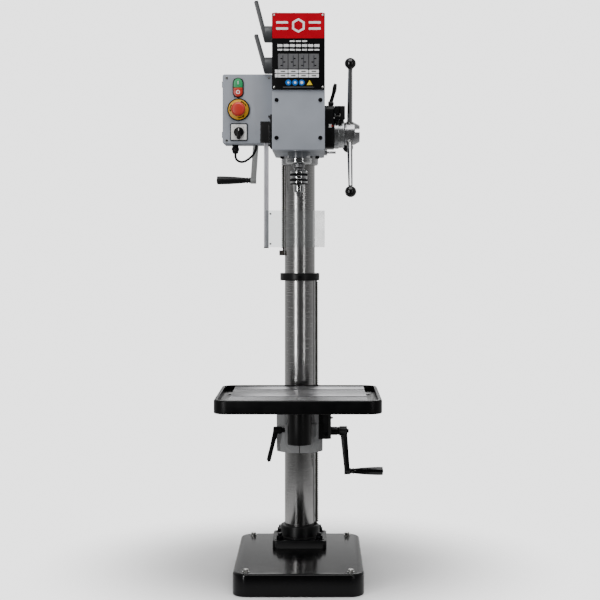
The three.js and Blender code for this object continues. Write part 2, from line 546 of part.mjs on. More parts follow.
// ---- quill, spindle, chuck and the feed handles ----
function buildQuill(head) {
  const { radius, from, to, bore } = QUILL;
  const back = SPINDLE_Y + radius;
  const teeth = [];
  for (let z = FEED_Z - 3 * TOOTH_PITCH; z < FEED_Z + QUILL.travel + 3 * TOOTH_PITCH; z += TOOTH_PITCH) {
    teeth.push([back - 2.1 * TOOTH_MODULE, z], [back, z + TOOTH_PITCH / 2]);
  }
  const start = teeth[0][1];
  const end = teeth[teeth.length - 1][1];
  const comb = sweep(polygon([...teeth, [back + 5, end], [back + 5, start]]), "x", -9, 9);
  const collar = rod("z", 34.2, from - 1.5, from + 12, 0, SPINDLE_Y, QUILL.sides);
  const body = join(rod("z", radius, from - 1.5, to, 0, SPINDLE_Y, QUILL.sides), collar);
  addTo(head, "quill", cut(body, rod("z", bore, from - 3, to + 1, 0, SPINDLE_Y, 16), comb), CHROME);

  const spindle = turned("z", [[0, 1085], [7.6, 1085], [8.2, 1102], [11, 1102], [12, 1106], [16, 1110],
    [16, 1119.8], [14, 1120.2], [14, 1480], [0, 1480]], 0, SPINDLE_Y, 24);
  addTo(head, "spindle", spindle, GEAR_STEEL);

  const chuckBlank = turned("z", [[0, 1043], [12.5, 1043], [14, 1046], [14, 1063], [17.5, 1063.5],
    [17.5, 1080.3], [22.5, 1080.3], [22.5, 1098], [19, 1101.7], [0, 1101.7]], 0, SPINDLE_Y);
  const socket = rod("z", 8.6, 1083, 1103, 0, SPINDLE_Y);
  const jawHole = rod("z", 8, 1042, 1060, 0, SPINDLE_Y);
  addTo(head, "chuck_body", cut(chuckBlank, socket, jawHole), CHROME);
  addTo(head, "chuck_sleeve", ring("z", 17.8, 23, 1063.2, 1080, 0, SPINDLE_Y), CHROME);
}

function buildFeed(head) {
  const wall = HEAD.half + GAP;
  const housing = sweep(roundedRect(-240, -154, 1161, 1275, 14), "x", wall, 94);
  const shaftBore = rod("x", FEED_SHAFT_RADIUS + 0.4, wall - 1, 95, FEED_Y, FEED_Z);
  addTo(head, "feed_housing", cut(housing, shaftBore), BLACK_PAINT);
  const { to, front, rear, bottom, top, lip } = STOP_BLOCK;
  const block = box(DIAL.from, to, front, rear, bottom, top);
  const frontLip = box(DIAL.from, to, front, -240, lip, bottom + 1);
  addTo(head, "depth_stop_block", join(block, frontLip), BLACK_PAINT);
  const dial = turned("x", [[DIAL.bore, DIAL.from], [DIAL.radius, DIAL.from], [DIAL.radius, DIAL.step],
    [DIAL.scaleRadius, DIAL.step + 1], [DIAL.scaleRadius, DIAL.to], [DIAL.bore, DIAL.to],
    [DIAL.bore, DIAL.from]], FEED_Y, FEED_Z, 32);
  addTo(head, "depth_dial", dial, ALUMINIUM);

  const pinion = gear("x", PINION_TEETH, TOOTH_MODULE, -8, 8, FEED_Y, FEED_Z, 0.5);
  const shaft = rod("x", FEED_SHAFT_RADIUS, -10, 124, FEED_Y, FEED_Z);
  const hub = turned("x", [[0, 121.3], [31, 121.3], [31, 148], [23, 163], [0, 163]], FEED_Y, FEED_Z);
  const slot = box(150, 165, FEED_Y - 40, FEED_Y + 40, FEED_Z + 1.5, FEED_Z + 12.5);
  addTo(head, "feed_hub", cut(join(pinion, shaft, hub), slot, ...handleSockets()), DARK_GREY);

  HANDLE.angles.forEach((angle, index) => {
    addTo(head, `feed_handle_${index + 1}`, feedHandle(angle), BLACK_PLASTIC);
  });

  const { y, z } = DEPTH_LOCK;
  const lockHub = rod("x", DEPTH_LOCK.hub, 78, 92, y, z, 16);
  const lockArm = sweep(polygon([[79, z], [87.5, 1308], [90.5, 1328], [95, 1336], [102, 1333], [101, 1318],
    [97, 1306], [90, z]]), "y", y - 4, y + 4);
  addTo(head, "depth_lock_lever", join(lockHub, lockArm), BLACK_PAINT);
}

// Lays a piece made along +Z from the hub's centre out in the direction of a feed handle.
function outwards(made, angle) {
  return made.rotate([90 - angle, 0, 0]).translate([HANDLE.x, FEED_Y, FEED_Z]);
}

function handleSockets() {
  return HANDLE.angles.map((angle) => outwards(rod("z", HANDLE.radius + 2 * GAP, 18, 40, 0, 0, 12), angle));
}

function feedHandle(angle) {
  const knobCentre = HANDLE.reach;
  const spoke = rod("z", HANDLE.radius, 18.5, knobCentre - 8, 0, 0, 12);
  const knob = new THREE.SphereGeometry(HANDLE.knob, 14, 9).translate(0, 0, knobCentre);
  return outwards(join(spoke, solid(knob)), angle);
}

// ---- electrical box, its controls and the interlock cable ----
function buildControls(head) {
  const { left, right, front, rear, from, to } = PANEL;
  const shell = sweep(roundedRect(left, right, from, to, 5), "y", front, rear, 1.5);
  const { x, z, halfWidth, halfHeight, spacing } = TWIN_BUTTON;
  const recess = box(x - 11.5, x + 11.5, front - 1, front + 8, z - 24, z + 24);
  const stopBore = rod("y", ESTOP.bore, front - 1, front + 10, ESTOP.x, ESTOP.z);
  const knobBore = rod("y", 5, front - 1, front + 10, SELECTOR.x, SELECTOR.z, 16);
  const cableBore = rod("z", CABLE_HOLE.radius, from - 1, from + 6, CABLE_HOLE.x, CABLE_HOLE.y, 12);
  const hollow = box(left + 4, right - 4, front + 12, rear - 4, from + 4, to - 4);
  addTo(head, "control_box", cut(shell, recess, stopBore, knobBore, cableBore, hollow), BLUE_GREY);

  const frame = box(x - halfWidth, x + halfWidth, front - 5, front - GAP, z - halfHeight, z + halfHeight);
  addTo(head, "button_frame", cut(frame, box(x - 11, x + 11, front - 6, front + 1, z - 23.5, z + 23.5)),
    BLACK_PLASTIC);
  const button = (centre) => join(
    sweep(roundedRect(x - 10.6, x + 10.6, centre - 11, centre + 11, 2), "y", front - 9, front - 3),
    box(x - 8, x + 8, front - 4, front + 3, centre - 8, centre + 8));
  addTo(head, "start_button", button(z + spacing - 1), GREEN);
  addTo(head, "stop_button", button(z - spacing + 1), RED);

  const collar = ring("y", ESTOP.bore + 0.4, ESTOP.ringRadius, front - 5, front - GAP, ESTOP.x, ESTOP.z, 28);
  addTo(head, "estop_ring", collar, YELLOW);
  addTo(head, "estop_button", turned("y", [[0, front - 27], [12, front - 26], [18, front - 21],
    [19, front - 14], [16, front - 12], [8.4, front - 12], [8.4, front + 3], [0, front + 3]],
    ESTOP.x, ESTOP.z), RED);

  const s = SELECTOR;
  const outline = roundedRect(s.x - s.half, s.x + s.half, s.z - s.half, s.z + s.half, 3);
  const plate = sweep(outline, "y", front - 3, front - GAP);
  addTo(head, "selector_plate", cut(plate, rod("y", 5, front - 4, front + 1, s.x, s.z, 16)), WHITE);
  const knobFoot = rod("y", 15, front - 9, front - 3 - GAP, s.x, s.z);
  const knobShaft = rod("y", 4.6, front - 9, front + 8, s.x, s.z, 16);
  const knob = join(knobFoot, knobShaft,
    sweep(roundedRect(s.x - 5, s.x + 5, s.z - 19, s.z + 15, 4), "y", front - 20, front - 8.5));
  addTo(head, "selector_knob", knob, BLACK_PLASTIC);
}

// The interlock cable hangs in one bight from the gland to the hole beside the guard.
const CABLE_RADIUS = 3.25;
const CABLE_POINTS = [
  [-170.6, -200, 1147.6], [-170.4, -200, 1141], [-168.6, -199.5, 1134.5], [-163, -199, 1129],
  [-155, -198, 1126.5], [-146.5, -197, 1127.8], [-138.5, -196, 1132], [-130.5, -194.5, 1138.5],
  [-123, -192.5, 1147], [-117.6, -190.8, 1157], [-115.3, -190, 1166], [-115, -190, 1174],
];

function buildCable(head) {
  const gland = turned("z", [[0, 1148], [6, 1148], [7.5, 1154], [9.5, 1156], [9.5, 1166], [8, 1167],
    [8, PANEL.from - GAP], [0, PANEL.from - GAP]], GLAND.x, GLAND.y, 20);
  addTo(head, "cable_gland", gland, BLACK_PLASTIC);
  const stations = CABLE_POINTS.map(([x, y, z]) => unit(x, y, z));
  const route = new THREE.CatmullRomCurve3(stations, false, "centripetal");
  const section = new THREE.Shape().absarc(0, 0, CABLE_RADIUS, 0, 2 * Math.PI);
  const tube = new THREE.ExtrudeGeometry(section, { steps: 22, curveSegments: 2, extrudePath: route });
  addTo(head, "interlock_cable", solid(tube), BLACK_PLASTIC);
}

// ---- chuck guard ----
function buildGuard(head) {
  const wall = -HEAD.half - GAP;
  const profile = polygon([[-306, 1245], [-306, 1172], [-286, 1156], [-262, 1156], [-262, 1245]]);
  addTo(head, "guard_plate", sweep(profile, "x", GUARD_HINGE.right + GAP, wall), BLACK_PAINT);
  const { left, right, front, rear } = GUARD_RAIL;
  const { from, to } = GUARD_HINGE;
  const axisX = (left + right) / 2;
  const axisY = (front + rear) / 2;
  // square in front of the rail and round behind it, so that it turns clear of the plate
  const square = box(GUARD_HINGE.left, GUARD_HINGE.right, GUARD_HINGE.front, axisY, from, to);
  const barrel = rod("z", GUARD_HINGE.right - axisX, from, to, axisX, axisY, 32);
  const channel = box(left - GAP, right + GAP, front - GAP, rear + GAP, from - 1, to + 1);
  addTo(head, "guard_bracket", cut(join(square, barrel), channel), BLACK_PAINT);
  addTo(head, "guard_rail", box(left, right, front, rear, GUARD_RAIL.from, GUARD_RAIL.to), ALUMINIUM);
  // the sheet's right end is bent back at 45 degrees round the chuck
  const far = front - GAP;
  const near = far - SHIELD.thickness;
  const reach = SHIELD.right - SHIELD.bend;
  const slope = SHIELD.thickness * Math.tan(Math.PI / 8);
  const pane = polygon([[SHIELD.left, near], [SHIELD.bend, near], [SHIELD.right, near + reach],
    [SHIELD.right - SHIELD.thickness / Math.SQRT2, near + reach + SHIELD.thickness / Math.SQRT2],
    [SHIELD.bend - slope, far], [SHIELD.left, far]]);
  const clear = { color: 0xe8eef0, roughness: 0.05, metalness: 0, transparent: true, opacity: 0.35 };
  addTo(head, "guard_shield", sweep(pane, "z", SHIELD.from, SHIELD.to), clear);
}

function buildHead() {
  const head = subassembly("head");
  buildHeadCasting(head);
  buildGearbox(head);
  buildGearTrain(head);
  addTo(head, "speed_lever_upper", speedLever(SPEED_LEVERS.upperZ, SPEED_LEVERS.upperReach), DARK_GREY);
  addTo(head, "speed_lever_lower", speedLever(SPEED_LEVERS.lowerZ, SPEED_LEVERS.lowerReach), DARK_GREY);
  buildHeadDrive(head);
  buildQuill(head);
  buildFeed(head);
  buildControls(head);
  buildCable(head);
  buildGuard(head);
}

buildStand();
buildTable();
buildHead();

export default part;
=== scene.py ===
import json
import math
from itertools import product

import bmesh
import bpy
from mathutils import Matrix, Vector


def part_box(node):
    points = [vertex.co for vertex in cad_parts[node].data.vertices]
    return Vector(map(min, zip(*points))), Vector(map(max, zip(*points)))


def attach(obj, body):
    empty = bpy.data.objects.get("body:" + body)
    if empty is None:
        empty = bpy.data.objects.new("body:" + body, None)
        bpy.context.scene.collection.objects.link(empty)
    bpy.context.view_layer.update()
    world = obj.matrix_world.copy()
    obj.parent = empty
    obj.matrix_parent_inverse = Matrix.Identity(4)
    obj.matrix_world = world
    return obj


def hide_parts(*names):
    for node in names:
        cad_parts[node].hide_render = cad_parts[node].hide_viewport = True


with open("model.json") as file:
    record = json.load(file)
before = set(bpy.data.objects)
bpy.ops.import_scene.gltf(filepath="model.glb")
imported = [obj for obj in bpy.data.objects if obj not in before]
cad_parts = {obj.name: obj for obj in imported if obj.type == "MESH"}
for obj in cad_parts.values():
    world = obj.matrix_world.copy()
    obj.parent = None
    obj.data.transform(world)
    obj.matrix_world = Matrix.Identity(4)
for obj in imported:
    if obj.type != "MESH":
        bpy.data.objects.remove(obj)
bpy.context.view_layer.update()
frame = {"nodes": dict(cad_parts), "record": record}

# ---------------------------------------------------------------- camera, floor, light
CAMERA_AT = (0.0458, -4.0, 0.922)
LENS_MM = 84.9
SHIFT = (-0.0267, -0.1033)


def added(name, data):
    """A new object in the scene."""
    made = bpy.data.objects.new(name, data)
    bpy.context.scene.collection.objects.link(made)
    return made


def add_camera():
    data = bpy.data.cameras.new("camera")
    data.lens = LENS_MM
    data.sensor_width = 36
    data.shift_x, data.shift_y = SHIFT
    camera = added("camera", data)
    camera.location = CAMERA_AT
    camera.rotation_euler = (math.radians(90), 0, 0)
    bpy.context.scene.camera = camera


def add_light(name, place, aim, size, watts):
    data = bpy.data.lights.new(name, "AREA")
    data.shape = "RECTANGLE"
    data.size, data.size_y = size
    data.energy = watts
    light = added(name, data)
    light.location = place
    light.rotation_euler = (Vector(aim) - Vector(place)).to_track_quat("-Z", "Y").to_euler()


def add_world():
    """Grey surroundings for reflections, darker behind the camera, and a pale backdrop."""
    backdrop_strength, darkest, brightest = 2.6, 0.04, 0.75
    world = bpy.data.worlds.new("studio")
    bpy.context.scene.world = world
    world.use_nodes = True
    nodes, links = world.node_tree.nodes, world.node_tree.links
    nodes.clear()
    output = nodes.new("ShaderNodeOutputWorld")
    mix = nodes.new("ShaderNodeMixShader")
    path = nodes.new("ShaderNodeLightPath")
    room = nodes.new("ShaderNodeBackground")
    backdrop = nodes.new("ShaderNodeBackground")
    backdrop.inputs["Color"].default_value = (1, 1, 1, 1)
    backdrop.inputs["Strength"].default_value = backdrop_strength
    direction = nodes.new("ShaderNodeTexCoord")
    split = nodes.new("ShaderNodeSeparateXYZ")
    links.new(direction.outputs["Generated"], split.inputs[0])
    level = spread(nodes, links, split.outputs["Y"], darkest, brightest, -1, 1)
    links.new(level, room.inputs["Strength"])
    links.new(path.outputs["Is Camera Ray"], mix.inputs["Fac"])
    links.new(room.outputs[0], mix.inputs[1])
    links.new(backdrop.outputs[0], mix.inputs[2])
    links.new(mix.outputs[0], output.inputs["Surface"])


# ---------------------------------------------------------------- materials
def new_material(name, color, roughness, metallic=0.0):
    made = bpy.data.materials.new(name)
    made.use_nodes = True
    shader = made.node_tree.nodes["Principled BSDF"]
    shader.inputs["Base Color"].default_value = (*color, 1)
    shader.inputs["Roughness"].default_value = roughness
    shader.inputs["Metallic"].default_value = metallic
    return made, made.node_tree.nodes, made.node_tree.links, shader


def noise_node(nodes, links, scale, stretch=(1, 1, 1), detail=4.0):
    place = nodes.new("ShaderNodeTexCoord")
    mapping = nodes.new("ShaderNodeMapping")
    mapping.inputs["Scale"].default_value = stretch
    noise = nodes.new("ShaderNodeTexNoise")
    noise.inputs["Scale"].default_value = scale
    noise.inputs["Detail"].default_value = detail
    links.new(place.outputs["Object"], mapping.inputs["Vector"])
    links.new(mapping.outputs["Vector"], noise.inputs["Vector"])
    return noise.outputs["Fac"]


def spread(nodes, links, value, low, high, start=0.3, end=0.7):
    ramp = nodes.new("ShaderNodeMapRange")
    ramp.inputs["From Min"].default_value = start
    ramp.inputs["From Max"].default_value = end
    ramp.inputs["To Min"].default_value = low
    ramp.inputs["To Max"].default_value = high
    links.new(value, ramp.inputs["Value"])
    return ramp.outputs[0]


def tint(nodes, links, factor, first, second):
    mix = nodes.new("ShaderNodeMix")
    mix.data_type = "RGBA"
    mix.inputs["A"].default_value = (*first, 1)
    mix.inputs["B"].default_value = (*second, 1)
    links.new(factor, mix.inputs["Factor"])
    return mix.outputs["Result"]


def add_bump(nodes, links, shader, height, strength, distance):
    bump = nodes.new("ShaderNodeBump")
    bump.inputs["Strength"].default_value = strength
    bump.inputs["Distance"].default_value = distance
    links.new(height, bump.inputs["Height"])
    links.new(bump.outputs["Normal"], shader.inputs["Normal"])


def shade(color, factor):
    return tuple(min(1.0, channel * factor) for channel in color)


def painted(name, color, roughness, texture=900, bump=0.12, coat=0.0, wear=0.25, mottling=0.06):
    """Enamel: faint mottling, a fine orange peel or casting texture, and edges rubbed thinner."""
    made, nodes, links, shader = new_material(name, color, roughness)
    shader.inputs["Coat Weight"].default_value = coat
    shader.inputs["Coat Roughness"].default_value = 0.08
    cloud = noise_node(nodes, links, 14, detail=3)
    base = tint(nodes, links, spread(nodes, links, cloud, 0, 1), shade(color, 1 - mottling),
                shade(color, 1 + mottling))
    geometry = nodes.new("ShaderNodeNewGeometry")
    edge = spread(nodes, links, geometry.outputs["Pointiness"], 0, wear, 0.53, 0.62)
    rubbed = nodes.new("ShaderNodeMix")
    rubbed.data_type = "RGBA"
    lighter = tuple(0.6 * channel + 0.25 for channel in color)
    rubbed.inputs["B"].default_value = (*lighter, 1)
    links.new(edge, rubbed.inputs["Factor"])
    links.new(base, rubbed.inputs["A"])
    links.new(rubbed.outputs["Result"], shader.inputs["Base Color"])
    peel = noise_node(nodes, links, texture, detail=2)
    smear = noise_node(nodes, links, 40, detail=3)
    links.new(spread(nodes, links, smear, roughness * 0.85, roughness * 1.2), shader.inputs["Roughness"])
    add_bump(nodes, links, shader, peel, bump, 0.0004)
    return made


def machined(name, color, roughness, stretch, scale=60, bump=0.08, stain=0.15, anisotropy=0.0):
    """Bare metal with the fine parallel marks that its cutting or grinding left."""
    made, nodes, links, shader = new_material(name, color, roughness, 1.0)
    shader.inputs["Anisotropic"].default_value = anisotropy
    lines = noise_node(nodes, links, scale, stretch, detail=6)
    patches = noise_node(nodes, links, 9, detail=5)
    mixed = tint(nodes, links, spread(nodes, links, patches, 0, 1), shade(color, 1 - stain),
                 shade(color, 1 + stain))
    fine = nodes.new("ShaderNodeMix")
    fine.data_type = "RGBA"
    fine.blend_type = "MULTIPLY"
    fine.inputs["Factor"].default_value = 0.35
    links.new(mixed, fine.inputs["A"])
    links.new(lines, fine.inputs["B"])
    links.new(fine.outputs["Result"], shader.inputs["Base Color"])
    links.new(spread(nodes, links, lines, roughness * 0.75, roughness * 1.35), shader.inputs["Roughness"])
    add_bump(nodes, links, shader, lines, bump, 0.0002)
    return made


def moulded(name, color, roughness, grain=1400, bump=0.15, metallic=0.0):
    """Moulded plastic: a fine spark-eroded grain and slight colour drift."""
    made, nodes, links, shader = new_material(name, color, roughness, metallic)
    drift = noise_node(nodes, links, 25, detail=3)
    links.new(tint(nodes, links, spread(nodes, links, drift, 0, 1), shade(color, 0.92), shade(color, 1.06)),
              shader.inputs["Base Color"])
    texture = noise_node(nodes, links, grain, detail=2)
    links.new(spread(nodes, links, texture, roughness * 0.9, roughness * 1.15), shader.inputs["Roughness"])
    add_bump(nodes, links, shader, texture, bump, 0.0002)
    return made


def clear_sheet(name, tint_color, haze):
    """Clear plastic sheet: it lets light straight through, with a little haze and gloss."""
    made, nodes, links, shader = new_material(name, (0.9, 0.91, 0.91), 0.12)
    through = nodes.new("ShaderNodeBsdfTransparent")
    through.inputs["Color"].default_value = (*tint_color, 1)
    mix = nodes.new("ShaderNodeMixShader")
    cloud = noise_node(nodes, links, 25, detail=5)
    links.new(spread(nodes, links, cloud, haze * 0.7, haze * 1.3), mix.inputs["Fac"])
    links.new(through.outputs[0], mix.inputs[1])
    links.new(shader.outputs[0], mix.inputs[2])
    links.new(mix.outputs[0], nodes["Material Output"].inputs["Surface"])
    return made


def studio_floor(name, near, far):
    """A plain pale floor that fades into the backdrop between two distances from its middle."""
    made, nodes, links, shader = new_material(name, (0.92, 0.92, 0.92), 0.7)
    shader.inputs["Specular IOR Level"].default_value = 0.1
    speckle = noise_node(nodes, links, 3)
    links.new(tint(nodes, links, speckle, (0.91, 0.91, 0.91), (0.94, 0.94, 0.94)),
              shader.inputs["Base Color"])
    place = nodes.new("ShaderNodeTexCoord")
    distance = nodes.new("ShaderNodeVectorMath")
    distance.operation = "LENGTH"
    links.new(place.outputs["Object"], distance.inputs[0])
    fade = nodes.new("ShaderNodeMapRange")
    fade.interpolation_type = "SMOOTHSTEP"
    fade.inputs["From Min"].default_value = near
    fade.inputs["From Max"].default_value = far
    links.new(distance.outputs["Value"], fade.inputs["Value"])
    clear = nodes.new("ShaderNodeBsdfTransparent")
    mix = nodes.new("ShaderNodeMixShader")
    links.new(fade.outputs[0], mix.inputs["Fac"])
    links.new(shader.outputs[0], mix.inputs[1])
    links.new(clear.outputs[0], mix.inputs[2])
    links.new(mix.outputs[0], nodes["Material Output"].inputs["Surface"])
    return made


def dull(material, level):
    """Sets how strongly a painted surface mirrors the room."""
    material.node_tree.nodes["Principled BSDF"].inputs["Specular IOR Level"].default_value = level
    return material


BLUE_GREY = (0.335, 0.36, 0.405)
BLACK = (0.0022, 0.0022, 0.0026)
paint_grey = painted("blue_grey_enamel", BLUE_GREY, 0.36, texture=700, bump=0.10, coat=0.15)
paint_box = painted("control_box_enamel", shade(BLUE_GREY, 1.03), 0.42, texture=1000, bump=0.16)
paint_cast = painted("head_casting_enamel", BLUE_GREY, 0.42, texture=260, bump=0.22, mottling=0.09)
gloss_black = dull(painted("gloss_black_enamel", BLACK, 0.16, texture=320, bump=0.05, wear=0.12), 0.28)
cast_black = dull(painted("black_cast_enamel", (0.0035, 0.0035, 0.004), 0.33, texture=240, bump=0.25,
                          wear=0.2), 0.22)
cast_dark = painted("dark_grey_casting", (0.045, 0.047, 0.05), 0.45, texture=300, bump=0.3, wear=0.4)
sleeve_grey = painted("light_grey_casting", (0.36, 0.365, 0.37), 0.42, texture=260, bump=0.2)
column_steel = machined("ground_column_steel", (0.50, 0.495, 0.49), 0.21, (1, 1, 90), 24, 0.05, 0.08, 0.35)
rack_steel = machined("rack_steel", (0.085, 0.078, 0.07), 0.42, (40, 1, 1), 30, 0.10, 0.3)
table_iron = machined("planed_table_iron", (0.21, 0.21, 0.22), 0.33, (1, 60, 1), 18, 0.12, 0.12, 0.4)
chrome = machined("polished_chrome", (0.60, 0.605, 0.61), 0.09, (1, 1, 30), 50, 0.02, 0.03)
turned_steel = machined("turned_steel", (0.52, 0.52, 0.53), 0.24, (1, 1, 60), 50, 0.08, 0.1)
faced_steel = machined("faced_dial_steel", (0.62, 0.63, 0.64), 0.26, (60, 1, 1), 50, 0.08, 0.06)
knurl_steel = machined("knurled_dark_steel", (0.02, 0.02, 0.022), 0.42, (1, 1, 1), 400, 0.5, 0.2)
# Blackened screws; the same dark also paints the shade inside the motor's vent slots.
dark_screw_and_vent_shade = machined("blackened_screw_and_vent_shade", (0.016, 0.016, 0.018), 0.38, (1, 1, 1), 300, 0.2, 0.2)
zinc = machined("zinc_plate", (0.62, 0.62, 0.60), 0.28, (1, 1, 1), 200, 0.15, 0.12)
rail_alloy = moulded("anodised_rail_alloy", (0.60, 0.60, 0.64), 0.30, 300, 0.03, 0.25)
arm_grey = painted("silver_grey_enamel", (0.30, 0.305, 0.30), 0.34, texture=260, bump=0.2)
gear_steel = machined("gear_steel", (0.34, 0.34, 0.35), 0.35, (1, 1, 40), 60, 0.1, 0.15)
black_plastic = dull(moulded("black_plastic", (0.0045, 0.0045, 0.005), 0.36), 0.3)
knob_plastic = moulded("glossy_knob_plastic", (0.003, 0.003, 0.0035), 0.12, 600, 0.04)
cable_rubber = dull(moulded("cable_rubber", (0.006, 0.006, 0.0065), 0.55, 1800, 0.3), 0.3)
red_plastic = moulded("red_plastic", (0.56, 0.035, 0.02), 0.33)
orange_plastic = moulded("stop_button_plastic", (0.62, 0.07, 0.03), 0.33)
green_plastic = moulded("green_plastic", (0.03, 0.34, 0.12), 0.35)
yellow_plastic = moulded("yellow_plastic", (0.72, 0.36, 0.004), 0.45)
white_plastic = moulded("white_plastic", (0.92, 0.92, 0.91), 0.42)
# Black print; the same black also paints the shade inside the chuck's key holes and the lid screws' slots.
black_print_and_shade = dull(moulded("black_print_and_painted_shade", (0.004, 0.004, 0.0045), 0.22, 500, 0.03), 0.25)
sign_red = dull(moulded("sign_red_print", (0.46, 0.0, 0.012), 0.25, 500, 0.03), 0.25)
sign_grey = dull(moulded("sign_grey_print", (0.13, 0.13, 0.135), 0.3, 500, 0.03), 0.3)
sign_pale = moulded("sign_pale_print", (0.92, 0.92, 0.93), 0.3, 500, 0.03)
border_grey = dull(moulded("switch_border_grey", (0.035, 0.037, 0.045), 0.4), 0.3)
sign_blue = moulded("sign_blue_print", (0.01, 0.14, 0.50), 0.3, 500, 0.03)
sign_yellow = moulded("sign_yellow_print", (0.85, 0.60, 0.02), 0.3, 500, 0.03)
clear_plastic = clear_sheet("clear_shield_plastic", (0.83, 0.84, 0.84), 0.04)
frosted_plastic = clear_sheet("frosted_shield_bend", (0.92, 0.92, 0.92), 0.3)
floor_white = studio_floor("pale_floor", 0.25, 0.8)
tray_black = dull(painted("table_tray_enamel", BLACK, 0.34, texture=320, bump=0.08, wear=0.12), 0.2)

# ---------------------------------------------------------------- mesh helpers
MM = 0.001
AXES = {"x": Vector((1, 0, 0)), "y": Vector((0, 1, 0)), "z": Vector((0, 0, 1))}


def mm(x, y, z):
    return Vector((x * MM, y * MM, z * MM))


def smoothed(mesh, angle=35):
    mesh.shade_smooth()
    mesh.set_sharp_from_angle(angle=math.radians(angle))


def finish_piece(name, mesh_builder, material, body, smooth=35, replaces=None):
    """Turns a bmesh into an object that rides on a body."""
    mesh = bpy.data.meshes.new(name)
    bmesh.ops.recalc_face_normals(mesh_builder, faces=mesh_builder.faces)
    mesh_builder.to_mesh(mesh)
    mesh_builder.free()
    piece = added(name, mesh)
    materials = material if isinstance(material, list) else [material]
    for one in materials:
        mesh.materials.append(one)
    if smooth:
        smoothed(mesh, smooth)
    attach(piece, body)
    if replaces:
        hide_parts(replaces)
    return piece


BODIES = {node: body for body, members in frame["record"]["behaviour"]["bodies"].items() for node in members}


def cleaned_copy(node):
    """The CAD node's shape as a bmesh with its coplanar triangles merged into faces."""
    build = bmesh.new()
    build.from_mesh(frame["nodes"][node].data)
    bmesh.ops.remove_doubles(build, verts=build.verts, dist=2e-5)
    bmesh.ops.dissolve_limit(build, angle_limit=math.radians(1.0), verts=build.verts, edges=build.edges)
    return build


def soften(build, width, angle=30, segments=2):
    """Rounds every edge sharper than the angle."""
    sharp = [edge for edge in build.edges
             if len(edge.link_faces) == 2 and edge.calc_face_angle(0) > math.radians(angle)]
    bmesh.ops.bevel(build, geom=sharp, offset=width * MM, segments=segments, profile=0.5,
                    affect="EDGES", clamp_overlap=True)
    return build


def refined(node, material, width=1.0, angle=30, segments=2, paint=None, smooth=40):
    """A finished piece in place of a CAD node: the same shape with its edges rounded."""
    build = soften(cleaned_copy(node), width, angle, segments)
    if paint:
        for face in build.faces:
            face.material_index = paint(face)
    return finish_piece(node + "_finished", build, material, BODIES[node], smooth, node)


def join_rings(build, rings):
    """Faces between neighbouring rings of points; a ring may be one point on the axis."""
    for lower, upper in zip(rings, rings[1:]):
        count = max(len(lower), len(upper))
        for i in range(count if count > 1 else 0):
            j = (i + 1) % count
            if len(lower) == 1:
                build.faces.new((lower[0], upper[i], upper[j]))
            elif len(upper) == 1:
                build.faces.new((lower[i], lower[j], upper[0]))
            else:
                build.faces.new((lower[i], lower[j], upper[j], upper[i]))


def revolve_mesh(profile, steps=72, place=lambda point: point):
    """A turned shape along +Z from (radius, height) in mm, each point moved by place."""
    build = bmesh.new()
    rings = []
    for radius, along in profile:
        angles = [2 * math.pi * i / steps for i in range(steps if radius >= 1e-6 else 1)]
        reach = radius * MM if radius >= 1e-6 else 0
        rings.append([build.verts.new(place(Vector((reach * math.cos(angle), reach * math.sin(angle),
                                                    along * MM))))
                      for angle in angles])
    join_rings(build, rings)
    return build


def revolve(name, profile, axis, centre, material, body, steps=72, replaces=None, smooth=35):
    """A turned piece: profile points are (radius, position along the axis) in mm."""
    turn = AXES[axis].to_track_quat("Z", "Y").to_matrix() if axis != "z" else Matrix.Identity(3)
    build = revolve_mesh(profile, steps, lambda point: turn @ point + centre)
    return finish_piece(name, build, material, body, smooth, replaces)


def rounded_profile(points, radius):
    """Rounds the inner corners of a profile with small arcs of three points."""
    made = [points[0]]
    for before, here, after in zip(points, points[1:], points[2:]):
        p, q, r = Vector(before), Vector(here), Vector(after)
        reach = min(radius, 0.45 * (p - q).length, 0.45 * (r - q).length)
        start = q + (p - q).normalized() * reach
        end = q + (r - q).normalized() * reach
        middle = (start + end) / 4 + q / 2
        made += [tuple(start), tuple(middle), tuple(end)]
    made.append(points[-1])
    return made


def cube(scale, shift=(0, 0, 0)):
    """A box of the given size in mm whose middle is moved by shift."""
    build = bmesh.new()
    bmesh.ops.create_cube(build, size=1)
    for v in build.verts:
        v.co = mm(*(place * size + move for place, size, move in zip(v.co, scale, shift)))
    return build


def block(name, low, high, material, body, width=0.6, segments=2, turn=None):
    """A box between two corners in metres with rounded edges."""
    build = soften(cube((high - low) / MM), width, 30, segments)
    matrix = Matrix.Translation((low + high) / 2) @ (turn.to_4x4() if turn else Matrix.Identity(4))
    build.transform(matrix)
    return finish_piece(name, build, material, body)


def hexagon_profile(build, radius, low, high, sides=6):
    made = bmesh.ops.create_cone(build, cap_ends=True, segments=sides, radius1=radius * MM,
                                 radius2=radius * MM,
                                 depth=(high - low) * MM)
    bmesh.ops.translate(build, verts=made["verts"], vec=(0, 0, (high + low) / 2 * MM))


def placed(build, axis, centre, flip=False):
    direction = AXES[axis] * (-1 if flip else 1)
    turn = direction.to_track_quat("Z", "Y").to_matrix().to_4x4()
    build.transform(Matrix.Translation(centre) @ turn)
    return build


def hex_bolt(name, centre, axis, body, radius=7.0, height=5.0, washer=True, flip=False, stud=0.0,
             material=None):
    """A hexagon head or nut on a washer, with an optional stud end standing out of it."""
    build = bmesh.new()
    floor = 1.6 if washer else 0.0
    hexagon_profile(build, radius, floor, floor + height)
    soften(build, 0.5, 30, 2)
    if washer:
        disc = bmesh.new()
        hexagon_profile(disc, radius * 1.28, 0, floor, 32)
        merge_into(build, disc)
    crown = bmesh.new()
    top = floor + height
    hexagon_profile(crown, radius * (0.55 if stud else 0.8), top - 0.5, top + (stud if stud else 0.5), 24)
    soften(crown, 0.5, 30, 2)
    merge_into(build, crown)
    return finish_piece(name, placed(build, axis, centre, flip), material or dark_screw_and_vent_shade, body, 30)


